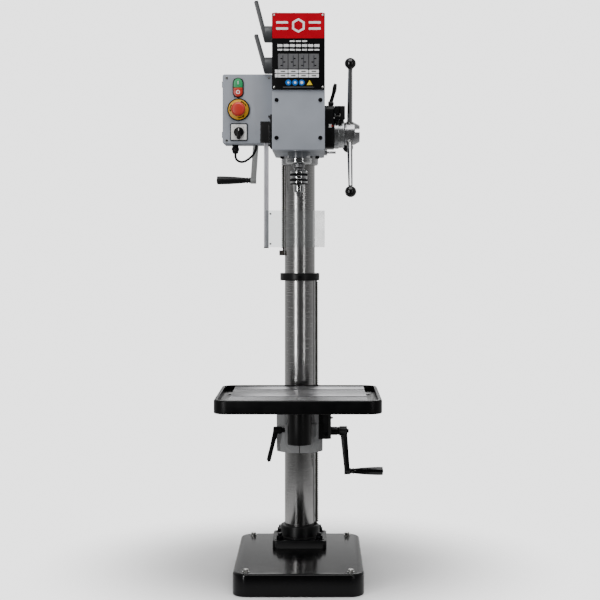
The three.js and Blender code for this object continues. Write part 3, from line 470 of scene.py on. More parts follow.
def plain_nut(name, radius, low, high, edge, place, material, body):
    """A hexagon nut made along +Z and moved by a matrix."""
    build = bmesh.new()
    hexagon_profile(build, radius, low, high)
    soften(build, edge, 30, 2)
    build.transform(place)
    finish_piece(name, build, material, body, 30)


def merge_into(build, other):
    mesh = bpy.data.meshes.new("joined")
    other.to_mesh(mesh)
    other.free()
    build.from_mesh(mesh)
    bpy.data.meshes.remove(mesh)


def socket_screw(name, centre, axis, body, radius=4.5, height=2.5, flip=False, material=None):
    """A cap screw with a hexagon socket."""
    profile = [(0, height - 1.6), (radius * 0.52, height - 1.6), (radius * 0.52, height),
               (radius * 0.86, height),
               (radius, height - 0.5), (radius, 0), (0, 0)]
    build = bmesh.new()
    rings = []
    sides = 24
    for index, (ring_radius, along) in enumerate(profile):
        if ring_radius < 1e-6:
            rings.append([build.verts.new((0, 0, along * MM))])
            continue
        ring = []
        for i in range(sides):
            angle = 2 * math.pi * i / sides
            reach = ring_radius
            if index in (1, 2):  # the socket's six flats
                reach = ring_radius * math.cos(math.pi / 6) / math.cos((angle % (math.pi / 3)) - math.pi / 6)
            ring.append(build.verts.new((reach * MM * math.cos(angle), reach * MM * math.sin(angle),
                                         along * MM)))
        rings.append(ring)
    join_rings(build, rings)
    return finish_piece(name, placed(build, axis, centre, flip), material or dark_screw_and_vent_shade, body, 30)


def centre_of(node):
    low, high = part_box(node)
    return (low + high) / 2


def rounded_loop(u0, u1, v0, v1, corner, steps=10):
    """Points of a rounded rectangle, anticlockwise, in mm."""
    points = []
    corner = max(corner, 0.01)
    centres = [(u1 - corner, v0 + corner, -90), (u1 - corner, v1 - corner, 0),
               (u0 + corner, v1 - corner, 90), (u0 + corner, v0 + corner, 180)]
    for cu, cv, start in centres:
        for i in range(steps + 1):
            angle = math.radians(start + 90 * i / steps)
            points.append((cu + corner * math.cos(angle), cv + corner * math.sin(angle)))
    return points


def slab_mesh(u0, u1, v0, v1, corner, low, high, edge, steps=10, rounds=4, foot_edge=None):
    """A rounded plate along +Z in mm: its upper and lower edges are rounded by the given radii."""
    foot = edge if foot_edge is None else foot_edge
    levels = []
    for i in range(rounds + 1):
        angle = math.pi / 2 * i / rounds
        levels.append((foot * (1 - math.sin(angle)), low + foot * (1 - math.cos(angle))))
    for i in range(rounds + 1):
        angle = math.pi / 2 * i / rounds
        levels.append((edge * (1 - math.cos(angle)), high - edge * (1 - math.sin(angle))))
    build = bmesh.new()
    loops = []
    for inset, along in levels:
        outline = rounded_loop(u0 + inset, u1 - inset, v0 + inset, v1 - inset, corner - inset, steps)
        loops.append([build.verts.new((u * MM, v * MM, along * MM)) for u, v in outline])
    join_rings(build, loops)
    build.faces.new(list(reversed(loops[0])))
    build.faces.new(loops[-1])
    bmesh.ops.remove_doubles(build, verts=build.verts, dist=1e-6)
    return build


def facing_front(build):
    """Turns a plate made along +Z so that its outline stands in the XZ plane and its top faces -Y."""
    build.transform(Matrix(((1, 0, 0, 0), (0, 0, -1, 0), (0, 1, 0, 0), (0, 0, 0, 1))))
    return build


def front_plate(name, x0, x1, z0, z1, corner, rear, front, edge, material, body, replaces=None, steps=8):
    """A rounded plate standing in the XZ plane, from y=rear to y=front (front is the smaller)."""
    build = facing_front(slab_mesh(x0, x1, z0, z1, corner, -rear, -front, edge, steps, 3, min(edge, 0.5)))
    return finish_piece(name, build, material, body, 35, replaces)


def carve(piece, cutters):
    """Cuts pieces out of a piece, and removes the cutters."""
    for cutter in cutters:
        modifier = piece.modifiers.new("carve", "BOOLEAN")
        modifier.operation = "DIFFERENCE"
        modifier.solver = "EXACT"
        modifier.object = cutter
    bpy.context.view_layer.update()
    evaluated = piece.evaluated_get(bpy.context.evaluated_depsgraph_get())
    mesh = bpy.data.meshes.new_from_object(evaluated)
    piece.modifiers.clear()
    piece.data = mesh
    for cutter in cutters:
        bpy.data.objects.remove(cutter)
    return piece


def loose_cutter(build):
    mesh = bpy.data.meshes.new("cutter")
    build.to_mesh(mesh)
    build.free()
    made = added("cutter", mesh)
    return made


def prism(build, outline, near, far, place):
    """A solid between two copies of an outline, at near and at far."""
    first, second = ([build.verts.new(place(u, v, depth)) for u, v in outline] for depth in (near, far))
    build.faces.new(list(reversed(first)))
    build.faces.new(second)
    join_rings(build, (first, second))
    bmesh.ops.recalc_face_normals(build, faces=build.faces)
    return build


def cutter_box(x0, x1, y0, y1, z0, z1):
    build = bmesh.new()
    bmesh.ops.create_cube(build, size=1)
    for v in build.verts:
        v.co = mm(x0 if v.co.x < 0 else x1, y0 if v.co.y < 0 else y1, z0 if v.co.z < 0 else z1)
    return loose_cutter(build)


def keep(node, material):
    """A CAD node whose shape is right stays, with its finished material."""
    target = frame["nodes"][node]
    if not target.material_slots:
        target.data.materials.append(material)
    for entry in target.material_slots:
        entry.material = material


def numbered(*rows):
    """Every pairing of the rows' places, numbered from 1."""
    return enumerate(product(*rows), 1)


def in_mm(node):
    low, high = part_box(node)
    return [value / MM for value in low], [value / MM for value in high]


# ---------------------------------------------------------------- stand
def stand():
    (x0, y0, z0), (x1, y1, z1) = in_mm("base")
    build = slab_mesh(x0, x1, y0, y1, 40, z0, z1, 7, 14, 5, 4)
    finish_piece("base_plate", build, gloss_black, "stand", 40, "base")
    bolt_inset, rear_inset = 35, 31
    for i, (x, y) in numbered((x0 + bolt_inset, x1 - bolt_inset), (y0 + 24, y1 - rear_inset)):
        hex_bolt(f"levelling_bolt_{i}", mm(x, y, z1), "z", "stand", 7.5, 6.5, material=zinc)

    (fx0, fy0, fz0), (fx1, fy1, fz1) = in_mm("column_flange")
    plate_top = fz0 + 21.7
    build = slab_mesh(fx0, fx1, fy0, fy1, 12, fz0, plate_top, 3, 8, 3, 0.5)
    boss = revolve_mesh([(42.8, plate_top - 1), (57.5, plate_top - 1), (57.5, plate_top + 2),
                         (55.5, plate_top + 4),
                         (55.5, fz1 - 8), (53, fz1 - 2), (49, fz1), (42.8, fz1)])
    merge_into(build, boss)
    finish_piece("column_foot", build, cast_black, "stand", 35, "column_flange")
    pitch = 55
    for i, (x, y) in numbered((-pitch, pitch), (-pitch, pitch)):
        hex_bolt(f"flange_nut_{i}", mm(x, y, plate_top), "z", "stand", 10.5, 10, stud=7)
    revolve("flange_grub_screw", [(0, -3), (5, -3), (5, 2.6), (4.4, 3), (2.6, 3), (2.4, 1), (0, 1)], "x",
            mm(-57, -6, plate_top + 16), dark_screw_and_vent_shade, "stand", 24)

    (_, _, cz0), (radius, _, cz1) = in_mm("column")
    revolve("column_tube", rounded_profile([(36, cz0), (radius, cz0), (radius, cz1), (36, cz1),
                                            (36, cz1 - 20)], 1),
            "z", Vector(), column_steel, "stand", 128, "column")
    revolve("column_end_cap", rounded_profile([(0, cz1 + 5), (radius, cz1 + 5), (radius, cz1 + 0.3),
                                               (35.7, cz1 + 0.3),
                                               (35.7, cz1 - 14), (0, cz1 - 14)], 1.2),
            "z", Vector(), black_plastic, "stand", 96, "column_cap")

    (_, _, rz0), (rx1, _, rz1) = in_mm("rack_collar")
    revolve("rack_collar_ring", rounded_profile([(42.8, rz0 + 3), (42.8, rz0), (rx1, rz0), (rx1, rz1),
                                                 (42.8, rz1),
                                                 (42.8, rz0 + 3)], 1.6),
            "z", Vector(), cast_black, "stand", 96, "rack_collar")
    revolve("collar_grub_screw", [(0, -2), (4.2, -2), (4.2, 1.2), (3.6, 1.6), (2.3, 1.6), (2.1, 0), (0, 0)],
            "y",
            mm(0, -rx1, (rz0 + rz1) / 2), dark_screw_and_vent_shade, "stand", 24)
    keep("head_rack", rack_steel)
    keep("table_rack", rack_steel)


# ---------------------------------------------------------------- table
def table():
    (x0, y0, z0), (x1, y1, z1) = in_mm("table_top")
    surface = z1 - 3
    rim, corner, work_half, trough = 9, 35, 177, 13
    build = slab_mesh(x0, x1, y0, y1, corner, z0, z1, 4, 14, 4, 3)
    top = finish_piece("table_tray", build, [tray_black, table_iron], "table_tilter", 35, "table_top")
    inside = (x0 + rim, x1 - rim, y0 + rim, y1 - rim, corner - rim)
    well = loose_cutter(slab_mesh(*inside, surface, z1 + 5, 0.01, 10, 1))
    troughs = loose_cutter(slab_mesh(*inside, surface - trough, z1 + 5, 0.01, 10, 1))
    carve(troughs, [cutter_box(-work_half, work_half, y0, y1, surface - 20, z1 + 9)])
    cutters = [well, troughs]
    for side, (front, back) in product((-1, 1), ((-310, -193), (-438, -358))):
        cutters.append(cutter_box(*sorted((side * 20, side * 160)), front, back, z0 - 1, surface - 15))
    reach = work_half + 14
    for y, (half, low, high) in product((-168, -335),
                                        ((7, surface - 12, z1 + 1), (12, surface - 20, surface - 11))):
        cutters.append(cutter_box(-reach, reach, y - half, y + half, low, high))
    carve(top, cutters)
    build = bmesh.new()
    build.from_mesh(top.data)
    for face in build.faces:
        centre = face.calc_center_median() / MM
        inside = abs(centre.x) < work_half - 0.5 and y0 + rim < centre.y < y1 - rim
        bare = inside and surface - 20.5 < centre.z < surface + 0.2 and abs(face.normal.x) < 0.5
        face.material_index = 1 if bare and not is_underside(face, z0) else 0
    soften(build, 0.7, 40, 2)
    build.to_mesh(top.data)
    build.free()
    smoothed(top.data)

    refined("table_neck", tray_black, 2.5, 35, 3)
    refined("tilt_bolt", gear_steel, 0.8)
    refined("table_sleeve", sleeve_grey, 0.7, 30, 2, None, 13)
    refined("table_worm_housing", cast_black, 4, 35, 3)
    keep("table_pinion", gear_steel)
    (_, wy0, wz0), (wx1, _, wz1) = in_mm("table_worm_housing")
    for i, z in enumerate((wz0 + 14, wz1 - 14)):
        socket_screw(f"worm_housing_screw_{i + 1}", mm(wx1 - 14, wy0, z), "y", "table_carriage", 5, 3, True)
    revolve("worm_grease_point", [(0, 6), (2, 6), (2.6, 4), (2, 2.6), (4, 2), (4, -1), (0, -1)], "x",
            mm(wx1, wy0 + 24, wz1 - 42), zinc, "table_carriage", 24)
    crank("table", 1)
    refined("table_clamp_lever", cast_black, 1.8, 30, 3)


def is_underside(face, floor):
    return face.normal.z < -0.5 and face.calc_center_median().z / MM < floor + 14


def crank(which, side):
    """The shaft, arm and turning grip of a height crank."""
    (sx0, sy0, sz0), (sx1, sy1, sz1) = in_mm(f"{which}_worm_shaft")
    paint = cast_black if which == "table" else arm_grey
    shaft_centre = mm(0, (sy0 + sy1) / 2, (sz0 + sz1) / 2)
    face = 88.3 if which == "table" else 106.3
    outer = sx1 if side > 0 else -sx0
    inner = sx0 if side > 0 else -sx1
    outline = [(0, inner), (7.4, inner), (7.4, face), (12, face), (12, outer - 6), (11, outer - 5),
               (11, outer - 3),
               (12, outer - 2), (12, outer), (0, outer)]
    profile = [(radius, side * along) for radius, along in outline]
    revolve(f"{which}_crank_shaft", rounded_profile(profile, 0.7), "x", shaft_centre, paint,
            f"{which}_crank",
            48, f"{which}_worm_shaft")
    refined(f"{which}_crank_arm", paint, 2.2, 35, 3)
    (gx0, gy0, gz0), (gx1, gy1, gz1) = in_mm(f"{which}_crank_grip")
    start, end = (gx0, gx1) if side > 0 else (gx1, gx0)
    hub_face = start - side * 8.3
    hex_bolt(f"{which}_crank_nut", mm(hub_face, (sy0 + sy1) / 2, (sz0 + sz1) / 2), "x", f"{which}_crank",
             5.5, 3.0, flip=side < 0)
    grip_centre = mm(0, (gy0 + gy1) / 2, (gz0 + gz1) / 2)
    length = abs(end - start)
    outline = [(0, 0), (8.2, 0), (8.2, 3.4), (6.6, 4), (6.6, 7), (8.4, 7.6), (8.4, 11.4), (6.8, 12),
               (7.8, 15),
               (9.6, 34), (11.2, length * 0.62), (11.9, length - 14), (11.9, length - 2.5),
               (10.6, length - 0.4),
               (0, length)]
    profile = [(radius, start + side * along) for radius, along in rounded_profile(outline, 0.8)]
    revolve(f"{which}_grip_handle", profile, "x", grip_centre,
            knob_plastic if which == "table" else black_plastic,
            f"{which}_grip", 56, f"{which}_crank_grip", 50)
    screw = [(radius, side * along) for radius,
             along in ((0, -1), (4.2, -1), (4.2, 0.6), (3.6, 1.0), (0, 1.0))]
    revolve(f"{which}_grip_end_screw", screw, "x", grip_centre + mm(end, 0, 0), zinc, f"{which}_grip", 24)


# ---------------------------------------------------------------- head
def head():
    (_, _, foot_z), (_, hy1, _) = in_mm("head_casting")
    refined("head_casting", [paint_cast, turned_steel], 2.6, 35, 3,
            lambda face: 1 if face.calc_center_median().z / MM < foot_z + 23 else 0)
    refined("gearbox_housing", paint_cast, 2.2, 35, 3)
    refined("gearbox_lid", paint_grey, 1.4)
    refined("head_worm_housing", paint_cast, 3, 35, 3)
    for node in ("head_pinion", "motor_pinion", "idler_gear", "spindle_gear", "spindle"):
        keep(node, gear_steel)
    (x0, y0, z0), (x1, y1, z1) = in_mm("front_cover")
    front_plate("front_cover_plate", x0, x1, z0, z1, 4, y1, y0, 1.6, paint_grey, "head", "front_cover")
    for i, (x, z) in numbered((x0 + 12, x1 - 12), (z0 + 32, z1 - 26)):
        socket_screw(f"cover_screw_{i}", mm(x, y0, z), "y", "head", 5.4, 2.4, True)
    (lx0, ly0, _), (lx1, ly1, lz1) = in_mm("gearbox_lid")
    for i, (x, y) in numbered((lx0 + 10, lx1 - 10), (ly0 + 12, ly1 - 12)):
        socket_screw(f"lid_screw_{i}", mm(x, y, lz1), "z", "head", 4, 2.6)
    for i, z in enumerate((z0 + 40, z1 - 40)):
        hex_bolt(f"column_clamp_bolt_{i + 1}", mm(20, hy1, z), "y", "head", 8, 6)
    for i, (x, y) in enumerate(((-50, -20), (50, -20), (50, -44))):
        hex_bolt(f"collar_bolt_{i + 1}", mm(x, y, z0), "z", "head", 5.5, 6, flip=True, washer=False)
    refined("head_clamp_lever", turned_steel, 0.6)
    sign()
    motor()
    speed_levers()
    crank("head", -1)


def sign():
    """A plain printed plate: a red band over a black field with a blank speed table and plain symbols."""
    (x0, y0, z0), (x1, y1, z1) = in_mm("sign_plate")
    front_plate("sign_backing", x0, x1, z0, z1, 3, y1, y0, 0.5, black_print_and_shade, "head", "sign_plate")
    skin = 0.35
    width = x1 - x0
    split = z0 + 0.667 * (z1 - z0)

    def print_patch(name, u0, u1, v0, v1, material, corner=0.8, lift=skin):
        build = facing_front(slab_mesh(u0, u1, v0, v1, corner, -y0 - 0.05, -y0 + lift, 0.1, 5, 1, 0.01))
        finish_piece(name, build, material, "head")

    print_patch("sign_red_band", x0 + 1, x1 - 1, split, z1 - 1, sign_red, 2.4)
    band_z = split + 0.5 * (z1 - split)
    for name, radius, material, lift in (("sign_hexagon", 19, sign_pale, 0.3),
                                         ("sign_hexagon_centre", 13, sign_red, 0.5)):
        build = bmesh.new()
        hexagon_profile(build, radius, 0, lift)
        placed(build, "y", mm(0, y0 - skin, band_z), True)
        finish_piece(name, build, material, "head", 0)
    for side, row in product((-1, 1), (-1, 1)):
        near, far = sorted((side * 27, side * 58))
        v = band_z + row * 8
        print_patch(f"sign_stripe_{side + 2}_{row + 2}", near, far, v - 3, v + 3, sign_pale, 1.5,
                    skin + 0.3)
    for row, (drop, height, count) in enumerate(((7.5, 3.6, 3), (19, 7, 7), (30, 4.2, 7))):
        v = split - drop
        for i in range(count):
            u = (i - (count - 1) / 2) * 16
            print_patch(f"sign_dash_{row + 1}_{i + 1}", u - 6.5, u + 6.5, v - height / 2, v + height / 2,
                        sign_pale, 1.2)
    cell = 0.78 * width / 4
    left = -0.39 * width
    for column in range(4):
        u = left + cell * column
        print_patch(f"sign_panel_{column + 1}", u + 0.8, u + cell - 0.8, z0 + 54, z0 + 93, sign_grey, 0.6)
        print_patch(f"sign_spindle_{column + 1}", u + cell / 2 - 1, u + cell / 2 + 1, z0 + 58, z0 + 89,
                    border_grey,
                    0.6, skin + 0.25)
        for row in range(2):
            v = z0 + 31.5 + 11 * row
            print_patch(f"sign_cell_{row + 1}_{column + 1}", u + 0.8, u + cell - 0.8, v, v + 9, sign_pale,
                        0.6)
            print_patch(f"sign_value_{row + 1}_{column + 1}", u + cell / 2 - 6, u + cell / 2 + 6, v + 2.8,
                        v + 6.2,
                        sign_grey, 1, skin + 0.2)
        for row in range(3):
            v = z0 + 61 + 9 * row
            side = 1 if (row + column) % 2 else -1
            middle = u + cell / 2 + side * 3.6
            print_patch(f"sign_gear_{row + 1}_{column + 1}", middle - 2.6, middle + 2.6, v, v + 3,
                        black_print_and_shade, 0.6,
                        skin + 0.2)
    for row in range(2):
        v = z0 + 31.5 + 11 * row
        print_patch(f"sign_cell_head_{row + 1}", left - 7, left, v, v + 9, sign_pale, 0.6)
    for i in range(3):
        u = -0.19 * width + 17.5 * i
        disc(f"sign_blue_disc_{i + 1}", u, z0 + 18, 7.6, y0 - skin, sign_blue)
        disc(f"sign_blue_disc_mark_{i + 1}", u, z0 + 18, 2.6 + 0.5 * i, y0 - skin - 0.3, sign_pale)
    triangle(0.21 * width, z0 + 16, 8.6, y0 - skin)
    print_patch("sign_small_rule", -40, 40, z0 + 5.4, z0 + 7, sign_grey, 0.6)
    rivet = [(0, 0), (3.2, 0), (3.0, -0.8), (2.2, -1.5), (1.1, -1.9), (0, -2)]
    for i, (x, z) in numbered((x0 + 6, x1 - 6), (z0 + 6, z1 - 6)):
        revolve(f"sign_rivet_{i}", rivet, "y", mm(x, y0 - 0.2, z), zinc, "head", 20, smooth=60)


def disc(name, x, z, radius, y, material):
    profile = [(0, 0), (radius - 0.2, 0), (radius, 0.2), (radius, 0.6), (0, 0.6)]
    revolve(name, profile, "y", mm(x, y, z), material, "head", 40)


def triangle(x, z, radius, y):
    build = bmesh.new()
    hexagon_profile(build, radius, 0, 0.5, 3)
    placed(build, "y", mm(x, y, z), True)
    finish_piece("sign_yellow_triangle", build, sign_yellow, "head", 0)


def motor():
    (x0, y0, z0), (x1, y1, z1) = in_mm("motor")
    centre = mm((x0 + x1) / 2, (y0 + y1) / 2, 0)
    radius = (x1 - x0) / 2
    profile = [(9, z0), (radius - 4, z0), (radius - 4, z0 + 9), (radius - 9, z0 + 13)]
    fins = 11
    first, last = z0 + 16, z1 - 34
    for i in range(fins):
        z = first + (last - first) * i / (fins - 1)
        profile += [(radius - 9, z - 3.2), (radius - 0.6, z - 1.6), (radius - 0.6, z + 1.6),
                    (radius - 9, z + 3.2)]
    profile += [(radius - 9, z1 - 28), (radius - 3, z1 - 27), (radius - 3, z1 - 8), (radius - 9, z1 - 1),
                (radius - 14, z1), (0, z1)]
    revolve("motor_frame", rounded_profile(profile, 1.0), "z", centre, paint_cast, "head", 96, "motor")
    # Dark bars round the fan cover: painted shade standing in for the shade inside its vent slots.
    slots = 18
    for i in range(slots):
        angle = 2 * math.pi * i / slots
        turn = Matrix.Rotation(angle, 3, "Z")
        reach = turn @ mm(34, 0, 0)
        low = centre + reach + mm(-15, -1.6, z1 - 0.6)
        high = centre + reach + mm(15, 1.6, z1 + 0.5)
        block(f"motor_vent_painted_shade_{i + 1}", low, high, dark_screw_and_vent_shade, "head", 0.3, 1, turn)
    box_low = centre + mm(radius - 12, -24, z0 + 34)
    box_high = centre + mm(radius + 3, 24, z0 + 88)
    block("motor_terminal_box", box_low, box_high, black_plastic, "head", 3, 3)


def speed_levers():
    for which in ("upper", "lower"):
        node = f"speed_lever_{which}"
        refined(node, cast_dark, 2.4, 35, 3)
        (_, y0, z0), (_, y1, _) = in_mm(node)
        hub_z = z0 + 22.3
        revolve(f"{node}_cap_screw", [(0, 1), (6, 1), (6, -2.4), (5.4, -3), (3.2, -3), (3, -1), (0, -1)],
                "x",
                mm(-92, (y0 + y1) / 2, hub_z), dark_screw_and_vent_shade, node, 24)


# ---------------------------------------------------------------- quill and chuck
def quill_and_chuck():
    axis = Vector((0, centre_of("chuck_body").y, 0))
    (_, _, z0), (x1, _, z1) = in_mm("quill")
    radius = 30
    profile = [(14.4, z0), (23, z0), (23, z0 - 2.5), (x1 - 6, z0 - 2.5), (x1 - 1.5, z0), (x1, z0 + 1.5),
               (x1, z0 + 5.4),
               (x1 - 1.2, z0 + 6), (x1 - 1.2, z0 + 7.2), (x1, z0 + 7.8), (x1, z0 + 12.4),
               (x1 - 1.2, z0 + 13.5),
               (radius, z0 + 13.5), (radius, z1 - 1), (radius - 1, z1), (14.4, z1), (14.4, z0)]
    quill = revolve("quill_sleeve", rounded_profile(profile, 0.5), "z", axis, chrome, "quill", 96, "quill")
    pitch = 2 * math.pi
    back = axis.y / MM + radius
    feed_z = centre_of("feed_hub").z / MM
    first, last = -3, 20
    outline = []
    for i in range(first, last + 1):
        z = feed_z + i * pitch
        outline += [(back - 4.2, z), (back, z + pitch / 2)]
    outline += [(back + 5, outline[-1][1]), (back + 5, outline[0][1])]
    rack = prism(bmesh.new(), outline, -9, 9, lambda y, z, x: mm(x, y, z))
    carve(quill, [loose_cutter(rack)])
    smoothed(quill.data)

    (_, _, s0), (sx1, _, s1) = in_mm("chuck_sleeve")
    (_, _, c0), (cx1, _, c1) = in_mm("chuck_body")
    nose = 14
    body = [(8.6, c1), (cx1 - 4, c1), (cx1 - 1, c1 - 2), (cx1, c1 - 4), (cx1, c1 - 8.2),
            (cx1 - 0.8, c1 - 8.8),
            (cx1 - 0.8, c1 - 14.6), (cx1, c1 - 15.2), (cx1, s1 + 0.3), (17.5, s1 + 0.3), (17.5, s0 - 0.2),
            (nose + 2.5, s0 - 0.4), (nose, s0 - 2), (nose, c0 + 3), (nose - 1.5, c0), (8, c0), (8, c0 + 17)]
    revolve("chuck_shell", rounded_profile(body, 0.5), "z", axis, chrome, "spindle", 72, "chuck_body")
    sleeve = [(17.8, s0), (sx1 - 1.4, s0), (sx1 - 0.8, s0 + 0.6), (sx1 - 0.8, s0 + 3.4), (sx1, s0 + 4),
              (sx1, s1 - 7.4),
              (sx1 - 0.8, s1 - 6.8), (sx1 - 0.8, s1 - 1.6), (sx1, s1 - 1), (sx1 - 0.6, s1), (17.8, s1),
              (17.8, s0)]
    revolve("chuck_sleeve_ring", rounded_profile(sleeve, 0.3), "z", axis, chrome, "spindle", 72,
            "chuck_sleeve")
    knurl("chuck_knurl_top", axis, cx1 - 0.6, c1 - 16.0, c1 - 7.6)
    knurl("chuck_knurl_middle", axis, sx1 - 0.6, s1 - 8.2, s1 - 0.4)
    knurl("chuck_knurl_bottom", axis, sx1 - 0.6, s0 + 0.2, s0 + 4.6)
    for i in range(3):
        turn = Matrix.Rotation(math.radians(120 * i - 90), 3, "Z")
        hole = axis + turn @ mm(nose - 1.6, 0, 0) + mm(0, 0, s0 - 5.5)
        # A black disc over each key hole: painted shade standing in for the shade inside the hole.
        key = bmesh.new()
        hexagon_profile(key, 3.1, 0, 2.0, 24)
        key.transform(Matrix.Translation(hole) @ (turn @ AXES["x"]).to_track_quat("Z",
                                                                                  "Y").to_matrix().to_4x4())
        finish_piece(f"chuck_key_hole_painted_shade_{i + 1}", key, black_print_and_shade, "spindle", 30)
        turn = Matrix.Rotation(math.radians(120 * i + 30), 3, "Z")
        jaw = bmesh.new()
        outline = [(1.2, -3.2), (6.8, -3.2), (6.8, 3.2), (1.2, 3.2), (0.3, 0)]
        tip = [(0.8, -1.8), (3.6, -2.4), (3.6, 2.4), (0.8, 1.8), (0.2, 0)]
        rows = []
        for shape, z in ((outline, c0 + 10), (outline, c0 - 2), (tip, c0 - 12)):
            rows.append([jaw.verts.new(axis + turn @ mm(u, v, 0) + mm(0, 0, z)) for u, v in shape])
        join_rings(jaw, rows)
        jaw.faces.new(rows[0])
        jaw.faces.new(list(reversed(rows[-1])))
        finish_piece(f"chuck_jaw_{i + 1}", soften(jaw, 0.3, 30, 1), turned_steel, "spindle", 30)


def knurl(name, axis, radius, low, high):
    """A knurled band: a zigzag of small pyramids round a ring."""
    count, rows = 72, 2
    build = bmesh.new()
    rings = []
    for row in range(2 * rows + 1):
        z = low + (high - low) * row / (2 * rows)
        ring = []
        for i in range(2 * count):
            raised = (i + row) % 2 == 0 and 0 < row < 2 * rows
            reach = radius + (0.75 if raised else 0.05)
            angle = math.pi * i / count
            ring.append(build.verts.new(axis + mm(reach * math.cos(angle), reach * math.sin(angle), z)))
        rings.append(ring)
    join_rings(build, rings)
    finish_piece(name, build, knurl_steel, "spindle", 0)


# ---------------------------------------------------------------- feed handles, dial and depth stop
def feed():
    refined("feed_housing", black_plastic, 2.0, 35, 3)
    (x0, _, _), (x1, _, _) = in_mm("depth_dial")
    centre = Vector((0, centre_of("depth_dial").y, centre_of("depth_dial").z))
    bore = 9.6
    ring = [(bore, x0), (40.4, x0), (41, x0 + 0.6), (41, x0 + 12), (40.2, x0 + 12.7), (39, x0 + 13),
            (39, x1 - 0.8),
            (38.2, x1), (bore, x1), (bore, x0)]
    revolve("depth_dial_ring", rounded_profile(ring, 0.3), "x", centre, faced_steel, "depth_dial", 120,
            "depth_dial")
    divisions, ridges, ridge_length = 100, 60, 8
    lengths = [9.0 if i % 10 == 0 else (6.5 if i % 5 == 0 else 4.2) for i in range(divisions)]
    bars_round("depth_dial_graduations", [cube((length, 0.42, 0.12), (x0 + 14 + length / 2, 0, 39.02))
                                          for length in lengths], centre, black_print_and_shade)
    bars_round("depth_dial_grip", [cube((ridge_length, 1.1, 0.5), (x0 + 2 + ridge_length / 2, 0, 41))
                                   for _ in range(ridges)], centre, faced_steel)

    _, (hx1, _, _) = in_mm("feed_hub")
    start = 121.3
    hub = [(8.4, 20), (8.4, start), (29.6, start), (31, start + 1.4), (31, start + 27), (23.6, hx1 - 0.8),
           (22.4, hx1),
           (14, hx1), (13, hx1 - 2), (0, hx1 - 2)]
    piece = revolve("feed_hub_turned", rounded_profile(hub, 0.5), "x", centre, turned_steel, "feed", 96)
    y, z = centre.y / MM, centre.z / MM
    notch_start, notch_end, reach = 150, 168, 45
    carve(piece, [cutter_box(notch_start, notch_end, y - reach, y + reach, z + 1.5, z + 12.5)])
    smoothed(piece.data)
    pinion = cleaned_copy("feed_hub")
    outer = [v for v in pinion.verts if v.co.x > 0.021]
    bmesh.ops.delete(pinion, geom=outer, context="VERTS")
    body = finish_piece("feed_pinion", pinion, gear_steel, "feed", 0, "feed_hub")
    body.data.materials[0] = gear_steel
    for i in range(3):
        feed_handle(i, centre)

    (bx0, by0, bz0), (_, _, bz1) = in_mm("depth_stop_block")
    refined("depth_stop_block", black_plastic, 1.6, 35, 3)
    clip_low = mm(bx0 + 0.8, by0 - 1.6, bz0 + 8.4)
    clip_high = mm(bx0 + 17, by0 + 1, bz0 + 16)
    block("depth_stop_clip", clip_low, clip_high, zinc, "head", 0.6, 2)
    block("depth_stop_clip_window", clip_low + mm(2.6, -0.3, 3.2), clip_high + mm(-2.6, 0, 1), black_print_and_shade,
          "head",
          0.3, 1)
    block("depth_stop_rib", mm(bx0 + 12.5, by0 - 1.2, bz0 + 19), mm(bx0 + 15, by0 + 1, bz1 - 0.5),
          dark_screw_and_vent_shade, "head",
          0.5, 2)
    pointer()
    refined("depth_lock_lever", cast_black, 1.2, 35, 2)
    (_, ly0, lz0), (_, ly1, _) = in_mm("depth_lock_lever")
    socket_screw("depth_lock_screw", mm(92, (ly0 + ly1) / 2, lz0 + 5.8), "x", "depth_lock", 4, 1.6)


def bars_round(name, bars, centre, material):
    """One piece of the dial from bars spaced evenly round its axis."""
    build = bmesh.new()
    for i, bar in enumerate(bars):
        bar.transform(Matrix.Translation(centre) @ Matrix.Rotation(2 * math.pi * i / len(bars), 4, "X"))
        merge_into(build, bar)
    finish_piece(name, build, material, "depth_dial", 0)


def pointer():
    """The white pointer with a red tip beside the dial."""
    (_, y0, _), (x1, _, z1) = in_mm("feed_housing")
    z = z1 - 55
    for name, outline, material, lift in (
            ("depth_pointer_plate", [(x1 - 14, z - 4.6), (x1 - 7, z - 4.6), (x1 - 6, z - 1.5),
                                     (x1 - 6, z + 1.5),
                                     (x1 - 7, z + 4.6), (x1 - 14, z + 4.6)], white_plastic, 0.5),
            ("depth_pointer_tip", [(x1 - 7.5, z - 2.6), (x1 - 0.8, z), (x1 - 7.5, z + 2.6)], red_plastic,
             0.8)):
        plate = prism(bmesh.new(), outline, y0 - lift, y0 + 0.2, lambda u, v, y: mm(u, y, v))
        finish_piece(name, plate, material, "head", 0)


def feed_handle(index, centre):
    """One spoke with its knob, pointing from the hub's axis through the CAD handle's centre."""
    node = f"feed_handle_{index + 1}"
    middle = centre_of(node)
    hub = Vector((136 * MM, centre.y, centre.z))
    direction = middle - hub
    direction.x = 0
    direction.normalize()
    reach, knob, radius = 197, 15, 6.6
    spoke = [(0, 18.5), (radius + 0.6, 18.5), (radius + 0.6, 50), (radius, 110),
             (radius - 0.8, reach - knob - 4),
             (radius - 0.8, reach - knob + 3), (0, reach - knob + 3)]
    build = revolve_mesh([(max(r, 0.01), along) for r, along in spoke], 48)
    turn = Matrix.Translation(hub) @ direction.to_track_quat("Z", "Y").to_matrix().to_4x4()
    build.transform(turn)
    finish_piece(node + "_spoke", build, chrome, "feed", 40, node)
    ball = []
    steps = 28
    for i in range(steps + 1):
        angle = math.pi * (0.07 + 0.93 * i / steps)
        ball.append((max(knob * math.sin(angle), 0.01), reach - knob * math.cos(angle)))
    ball = [(radius + 0.4, reach - knob - 0.4)] + ball
    build = revolve_mesh(ball, 56)
    build.transform(turn)
    finish_piece(node + "_knob", build, knob_plastic, "feed", 60)
    plain_nut(node + "_lock_nut", 10.5, 29.5, 33.5, 0.6, turn, zinc, "feed")


